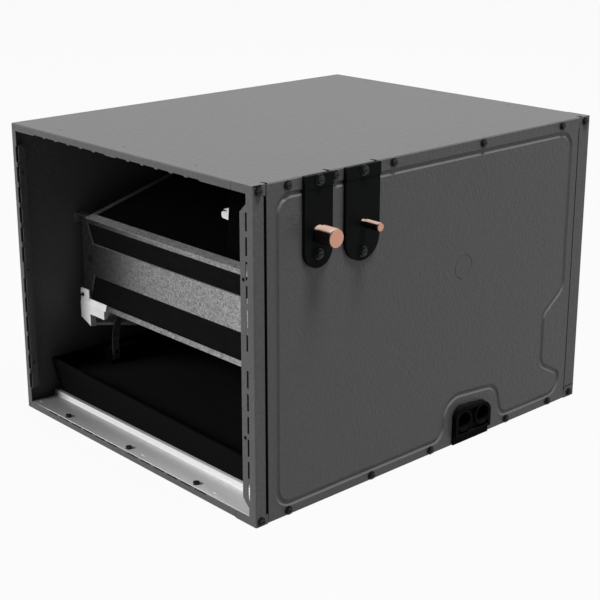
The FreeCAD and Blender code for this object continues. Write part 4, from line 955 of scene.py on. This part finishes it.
@dataclass
class HexScrews(Assembly):
    """The slotted washer-head screws of the door side."""

    flange_height: float = 1.2 * MM
    flange_sides: int = 36
    head_height: float = 4.2 * MM
    hex_share: float = 0.745
    dish: float = 0.35 * MM
    dish_share: float = 1.06
    ease: float = 0.35 * MM
    slot_width: float = 1.6 * MM
    slot_depth: float = 1.2 * MM
    shank_radius: float = 2.0 * MM
    shank_length: float = 5.0 * MM
    seat_share: float = 2.2
    smooth_angle: float = math.radians(35)
    groups: dict[str, float] = field(default_factory=lambda: {
        "door_screws": 6.2 * MM, "post_screws": 6.2 * MM, "seal_plate_screws": 7.4 * MM})

    def build(self) -> None:
        """Model each size once and copy it to every seat."""
        head = Vector((self.head_height, 0, 0))
        for node, radius in self.groups.items():
            points = seats(self.frame["nodes"][node], self.seat_share * radius)
            places = {f"{node[:-1]}_{index:02d}": point - head for index, point in enumerate(points, 1)}
            self.hand_over_copies(self.screw(radius), places, SCREW_STEEL, "screw_steel", node)

    def screw(self, radius: float) -> Piece:
        """One screw with its seat at the origin and its head towards +X.

        Args:
            radius: The washer flange's radius.

        Returns:
            The finished screw.
        """
        hexagon = radius * self.hex_share
        clear_selection()
        bpy.ops.mesh.primitive_cylinder_add(vertices=self.flange_sides, radius=radius,
                                            depth=self.flange_height,
                                            location=(0, 0, self.flange_height / 2))
        screw = bpy.context.object
        apply_place(screw)
        pick_out(screw, Pick.FACES, lambda face: face.normal.z > FACING)
        bpy.ops.mesh.inset(thickness=radius - hexagon * self.dish_share)
        bpy.ops.transform.translate(value=(0, 0, -self.dish))
        pick_out(screw, Pick.FACES, lambda face: face.normal.z < -FACING)
        bpy.ops.mesh.inset(thickness=radius - self.shank_radius)
        bpy.ops.mesh.extrude_region_move(TRANSFORM_OT_translate={"value": (0, 0, -self.shank_length)})
        leave_edit()
        head = self.head(hexagon, 4 * radius)
        apply_modifier(screw, "BOOLEAN", operation="UNION", object=head, solver="EXACT")
        bpy.data.objects.remove(head)
        screw.rotation_euler = (0, math.radians(90), 0)
        apply_place(screw)
        outward(screw)
        bpy.ops.object.shade_smooth_by_angle(angle=self.smooth_angle)
        return screw

    def head(self, radius: float, across: float) -> Piece:
        """The slotted hexagon that stands in the flange's dish.

        Args:
            radius: The hexagon's radius over its corners.
            across: A length that surely spans the head, for the slot.

        Returns:
            The head, upright about Z.
        """
        foot = self.flange_height - self.dish
        clear_selection()
        bpy.ops.mesh.primitive_cylinder_add(vertices=6, radius=radius, depth=self.head_height - foot,
                                            location=(0, 0, (self.head_height + foot) / 2))
        head = bpy.context.object
        apply_place(head)
        ease_edges(head, self.ease)
        half = Vector((self.slot_width, across, 2 * self.slot_depth)) / 2
        top = Vector((0, 0, self.head_height))
        cutter = block("slot_cutter", top - half, top + half)
        apply_modifier(head, "BOOLEAN", operation="DIFFERENCE", object=cutter, solver="EXACT")
        bpy.data.objects.remove(cutter)
        return head


@dataclass
class DoorGapShadows(Assembly):
    """Black strips in the gaps before and behind the door, wider than the gaps: painted shadow of the
    seams.
    """

    front_gap: float = 1.7 * MM
    rear_gap: float = 0.5 * MM
    ends: float = 14.2 * MM
    proud: float = 0.3 * MM
    depth: float = 2.4 * MM
    ease: float = 0.12 * MM
    front_lap: float = 2.6 * MM
    rear_lap: float = 0.7 * MM
    clearance: float = 0.05 * MM

    def build(self) -> None:
        """Make one dark strip for each of the door's upright edges."""
        low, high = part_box("access_door")
        for name, start, end, lap in (
                ("front_door_trim", low.y - self.front_gap, low.y, self.front_lap),
                ("rear_door_trim", high.y, high.y + self.rear_gap, -self.rear_lap)):
            self.hand_over(self.trim(name, (start, end), lap, high), SHADOW_BLACK, "black_moulding")

    def trim(self, name: str, gap: Span, lap: float, corner: Vector) -> Piece:
        """One dark strip: a tongue in the gap under a flat lip that laps over the door, as painted shadow.

        Args:
            name: The strip's name.
            gap: The gap's lower and upper Y.
            lap: How far the lip reaches over the door; negative towards -Y.
            corner: The door's highest corner.

        Returns:
            The finished strip.
        """
        low = Vector((corner.x - self.depth, gap[0] + self.clearance, self.ends))
        high = Vector((corner.x + self.proud, gap[1] - self.clearance, corner.z - self.ends))
        trim = block(name, low, high)
        edit(trim, Pick.FACES)
        bpy.ops.mesh.bisect(plane_co=(corner.x + self.clearance, 0, 0), plane_no=(1, 0, 0))
        side = math.copysign(1, lap)
        pick_out(trim, Pick.FACES, lambda face: face.normal.y * side > FACING and face.center.x > corner.x)
        bpy.ops.mesh.extrude_region_move(TRANSFORM_OT_translate={"value": (0, lap, 0)})
        leave_edit()
        ease_edges(trim, self.ease)
        outward(trim)
        return trim


@dataclass
class SlitShadows(Assembly):
    """Black tabs set into the slits along the door side's upper fold: painted shadow in the slits."""

    length: float = 10.5 * MM
    width: float = 2.0 * MM
    height: float = 2.2 * MM
    proud: float = 0.9 * MM
    from_side: float = 0.6 * MM
    ease: float = 0.3 * MM
    tip: tuple[float, float, float] = (1.0, 0.6, 0.5)
    fronts: tuple[float, ...] = (22.1 * MM, 123.4 * MM, 207.0 * MM, 641.6 * MM)

    def build(self) -> None:
        """Model one dark tab and put a copy into every slit."""
        low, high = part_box("casing_wrap")
        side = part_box("access_door")[1].x
        half = Vector((self.length, self.width, self.height)) / 2
        shadow_tab = block("seal_hook", -half, half)
        pick_out(shadow_tab, Pick.FACES, lambda face: face.normal.x < -FACING)
        bpy.ops.transform.resize(value=self.tip)
        leave_edit()
        ease_edges(shadow_tab, self.ease)
        outward(shadow_tab)
        corner = Vector((side - self.from_side - half.x, low.y, high.z + self.proud - half.z))
        places = {f"seal_hook_{index}": corner + Vector((0, front, 0))
                  for index, front in enumerate(self.fronts, 1)}
        self.hand_over_copies(shadow_tab, places, SHADOW_BLACK, "black_moulding")


@dataclass
class JointShadows(Assembly):
    """Black strips in the joints round the ends of the corner posts and along the pan's front rim: painted
    shadow lines.
    """

    proud: float = 0.3 * MM
    depth: float = 0.8 * MM
    ease: float = 0.1 * MM
    joints: tuple[tuple[str, Span, Span], ...] = (
        ("front_post_top_packing", (-330.3 * MM, 443.4 * MM), (-317.5 * MM, 444.7 * MM)),
        ("front_tab_side_packing", (-310.6 * MM, 430.6 * MM), (-309.6 * MM, 443.9 * MM)),
        ("front_tab_foot_packing", (-314.3 * MM, 429.6 * MM), (-309.6 * MM, 430.6 * MM)),
        ("rear_tab_head_packing", (308.3 * MM, 18.3 * MM), (328.6 * MM, 19.3 * MM)),
        ("rear_tab_side_packing", (304.3 * MM, 14.9 * MM), (306.3 * MM, 18.5 * MM)),
    )
    rim_start: float = -174.0 * MM
    rim_end: float = 251.0 * MM
    rim_left: float = 73.7 * MM
    rim_fall: float = 12.7 * MM
    rim_inset: float = 3.0 * MM
    rim_width: float = 3.0 * MM
    rim_height: float = 2.4 * MM

    def build(self) -> None:
        """Lay a strip into each joint and one along the pan's front rim."""
        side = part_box("access_door")[1].x
        for name, low, high in self.joints:
            strip = self.strip(name, Vector((side - self.depth, *low)), Vector((side + self.proud, *high)))
            self.hand_over(strip, SHADOW_BLACK, "black_moulding")
        self.hand_over(self.rim_strip(), SHADOW_BLACK, "black_moulding")

    def strip(self, name: str, low: Vector, high: Vector) -> Piece:
        """A strip with eased edges.

        Args:
            name: The strip's name.
            low: The corner with the lowest coordinates.
            high: The opposite corner.

        Returns:
            The finished strip.
        """
        strip = block(name, low, high)
        ease_edges(strip, self.ease)
        outward(strip)
        return strip

    def rim_strip(self) -> Piece:
        """The strip that lies on the pan's front rim and falls with it: a painted shadow line behind the
        rim.

        Returns:
            The finished strip.
        """
        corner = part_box("drain_pan")[0]
        left = corner.x + self.rim_inset
        run = -2 * left
        middle = (self.rim_start + self.rim_end) / 2
        height = self.rim_left - self.rim_fall * (middle - left) / run
        half = Vector((self.rim_end - self.rim_start, self.rim_width, self.rim_height)) / 2
        strip = self.strip("pan_rim_packing", -half, half)
        strip.rotation_euler = (0, math.atan2(self.rim_fall, run), 0)
        strip.location = (middle, corner.y + half.y, height + half.z)
        apply_place(strip)
        return strip


@dataclass
class RailMarks(Assembly):
    """The shallow pressed ovals along the front rail."""

    across: tuple[float, ...] = (-247 * MM, 16 * MM, 175 * MM)
    from_front: float = 9.2 * MM
    flat_depth: float = 2.0 * MM
    half_length: float = 4.6 * MM
    half_width: float = 1.9 * MM
    rise: float = 0.7 * MM
    sunk: float = 0.1 * MM
    segments: int = 24
    rings: int = 12
    smooth_angle: float = math.radians(50)

    def build(self) -> None:
        """Press the ovals out of the rail's flat."""
        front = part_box("front_rail")[0].y
        foot = self.flat_height(front) - self.sunk
        places = {f"rail_mark_{index}": Vector((across, front + self.from_front, foot))
                  for index, across in enumerate(self.across, 1)}
        self.hand_over_copies(self.oval(), places, PAINTED_SHEEN_RAIL_ZINC, "galvanised_steel")

    def oval(self) -> Piece:
        """One oval: the upper half of a flattened ball, closed underneath.

        Returns:
            The oval, with the middle of its foot at the origin.
        """
        clear_selection()
        bpy.ops.mesh.primitive_uv_sphere_add(segments=self.segments, ring_count=self.rings, radius=1.0)
        oval = bpy.context.object
        oval.scale = (self.half_length, self.half_width, self.rise + self.sunk)
        apply_place(oval)
        edit(oval, Pick.FACES)
        bpy.ops.mesh.bisect(plane_co=(0, 0, 0), plane_no=(0, 0, 1), clear_inner=True, use_fill=True)
        leave_edit()
        outward(oval)
        bpy.ops.object.shade_smooth_by_angle(angle=self.smooth_angle)
        return oval

    def flat_height(self, front: float) -> float:
        """Height of the rail's flat, found among the rail's own points near its front edge."""
        points = (vertex.co for vertex in self.frame["nodes"]["front_rail"].data.vertices)
        return max(point.z for point in points if point.y < front + self.flat_depth)


class CadDress(Assembly):
    """The finishes of the pieces that keep their CAD shapes."""

    WEAR: ClassVar[dict[Finish, tuple[str, ...]]] = {
        CASING_PAINT: ("casing_wrap", "front_corner_post", "rear_corner_post"),
        SHADED_DOOR_PAINT: ("access_door",),
        BLACK_PLASTIC: ("suction_seal_plate", "liquid_seal_plate"),
        PAN_PLASTIC: ("drain_pan", "support_block"),
        WHITE_PLASTIC: ("drip_clip", "end_gutter"),
        PAINTED_SHEEN_RAIL_ZINC: ("front_rail",),
        SHADED_ZINC: ("piping_baffle",),
        FACE_ZINC: ("upper_front_angle", "lower_front_angle", "apex_plate"),
        ZINC: ("upper_left_tube_sheet", "upper_right_tube_sheet", "lower_left_tube_sheet",
               "lower_right_tube_sheet", "left_delta_plate", "right_delta_plate", "coil_bracket",
               "rear_baffle", "rear_rail", "support_strap"),
        COPPER: ("upper_hairpins", "lower_hairpins", "upper_return_bends", "lower_return_bends",
                 "suction_manifold", "liquid_line", "feeder_tubes"),
        BRASS: ("metering_body",),
        SCREW_STEEL: ("door_screws", "post_screws", "seal_plate_screws", "apex_screw", "rail_screws",
                      "strap_screw"),
        FIN_STOCK: ("upper_fin_pack", "lower_fin_pack"),
    }

    def dress(self) -> None:
        """Give every CAD node its finish."""
        left = set(self.frame["nodes"])
        for finish, names in self.WEAR.items():
            for name in names:
                self.dress_node(self.frame["nodes"][name], self.finishes[finish.name])
                left.discard(name)
        if left:
            LOG.warning("without a finish: %s", sorted(left))

    @staticmethod
    def dress_node(node: Piece, material: bpy.types.Material) -> None:
        """Put one material on all of a CAD node.

        Args:
            node: The CAD node.
            material: Its material.
        """
        if not node.material_slots:
            node.data.materials.append(material)
        for slot in node.material_slots:
            slot.material = material


@dataclass(frozen=True)
class Lamp:
    """A soft square lamp; its power is in watts."""

    name: str
    place: tuple[float, float, float]
    size: float
    power: float
    in_gloss: bool = False

    def hang(self, target: Vector) -> None:
        """Hang the lamp in the scene and turn it to a target.

        Args:
            target: The point that it faces.
        """
        data = bpy.data.lights.new(self.name, "AREA")
        data.shape = "SQUARE"
        data.size = self.size
        data.energy = self.power
        lamp = bpy.data.objects.new(self.name, data)
        bpy.context.scene.collection.objects.link(lamp)
        place = Vector(self.place)
        turn = (target - place).to_track_quat("-Z", "Y").to_matrix().to_4x4()
        lamp.matrix_world = Matrix.Translation(place) @ turn
        lamp.visible_glossy = self.in_gloss


@dataclass
class Studio:
    """The floor, the white surround, the lamps and the camera."""

    frame_size: int = 600
    sensor: float = 36.0
    focal_pixels: float = 1354.61
    middle_across: float = 289.917
    middle_down: float = 260.999
    eye: Vector = field(default_factory=lambda: Vector((1.44079, -1.33543, 0.81846)))
    forward: Vector = field(default_factory=lambda: Vector((-0.70907, 0.64345, -0.28843)))
    right: Vector = field(default_factory=lambda: Vector((0.67249, 0.74011, -0.00213)))
    sight: float = 50.0
    floor_half: float = 6.0
    floor_colour: Colour = grey(0.25)
    floor_glow: float = 0.95
    world_level: float = 0.06
    target: Vector = field(default_factory=lambda: Vector((0.0, 0.0, 0.2)))
    lamps: tuple[Lamp, ...] = (
        Lamp("door_side", (1.45, 0.0, 3.9), 1.0, 146.0, in_gloss=True),
        Lamp("rear_side", (-2.6, 2.6, 2.6), 2.5, 60.0),
        Lamp("front_side", (-1.6, -4.5, 2.8), 1.6, 218.0),
    )

    def build(self) -> None:
        """Set the stage, with colours shown as they are written."""
        bpy.context.scene.view_settings.view_transform = "Standard"
        self.camera()
        self.world()
        self.floor()
        for lamp in self.lamps:
            lamp.hang(self.target)

    def camera(self) -> None:
        """The camera at the photograph's place and angle."""
        data = bpy.data.cameras.new("photo_camera")
        data.sensor_width = self.sensor
        data.lens = self.focal_pixels * self.sensor / self.frame_size
        half = self.frame_size / 2
        data.shift_x = (half - self.middle_across) / self.frame_size
        data.shift_y = (self.middle_down - half) / self.frame_size
        data.clip_end = self.sight
        camera = bpy.data.objects.new("photo_camera", data)
        bpy.context.scene.collection.objects.link(camera)
        back = -self.forward.normalized()
        right = (self.right - back * self.right.dot(back)).normalized()
        up = back.cross(right)
        turn = Matrix((right, up, back)).transposed().to_4x4()
        camera.matrix_world = Matrix.Translation(self.eye) @ turn
        bpy.context.scene.camera = camera

    @staticmethod
    def two_ways(board: NodeBoard, shaders: list[bpy.types.Node], share: float, output: str) -> None:
        """Let one shader light the scene and another be seen, directly, by reflection or refraction.

        Args:
            board: The node tree to work in.
            shaders: The one that lights and the one that is seen.
            share: How much of the second one is seen.
            output: The type of the output node.
        """
        path = board.node("ShaderNodeLightPath").outputs
        seen = board.maths("MAXIMUM", path["Is Camera Ray"], path["Is Glossy Ray"])
        seen = board.maths("MAXIMUM", seen, path["Is Transmission Ray"])
        blend = board.node("ShaderNodeMixShader")
        board.feed(blend.inputs[0], board.maths("MULTIPLY", seen, share))
        for socket, shader in zip(blend.inputs[1:], shaders):
            board.feed(socket, shader.outputs[0])
        board.feed(board.node(output).inputs["Surface"], blend.outputs[0])

    def world(self) -> None:
        """White where it is seen, dim where it lights."""
        world = bpy.data.worlds.new("white_surround")
        world.use_nodes = True
        board = NodeBoard(world.node_tree)
        shaders = [board.node("ShaderNodeBackground", None, Color=rgba(grey(1.0)), Strength=level)
                   for level in (self.world_level, 1.0)]
        self.two_ways(board, shaders, 1.0, "ShaderNodeOutputWorld")
        world.cycles.sampling_method = "NONE"
        bpy.context.scene.world = world

    def floor(self) -> None:
        """A plain pale floor that keeps a soft shadow."""
        clear_selection()
        bpy.ops.mesh.primitive_plane_add(size=2 * self.floor_half)
        floor = bpy.context.object
        floor.name = "floor"
        material = bpy.data.materials.new("pale_floor")
        material.use_nodes = True
        board = NodeBoard(material.node_tree)
        shaders = [board.node("ShaderNodeBsdfDiffuse", None, Color=rgba(self.floor_colour)),
                   board.node("ShaderNodeEmission", None, Color=rgba(grey(1.0)), Strength=1.0)]
        self.two_ways(board, shaders, self.floor_glow, "ShaderNodeOutputMaterial")
        material.cycles.emission_sampling = "NONE"
        floor.data.materials.append(material)


def main() -> None:
    """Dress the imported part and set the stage."""
    logging.basicConfig(level=logging.INFO, format="%(message)s")
    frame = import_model()
    effects = EffectGroups()
    finishes = {finish.name: finish.material(effects) for finish in (*CadDress.WEAR, SHADOW_BLACK)}
    CadDress(frame, finishes).dress()
    for assembly in (FinPacks, DrainThreads, HexScrews, DoorGapShadows, SlitShadows, JointShadows, RailMarks):
        assembly(frame, finishes).build()
    Studio().build()


if __name__ == "__main__":
    main()
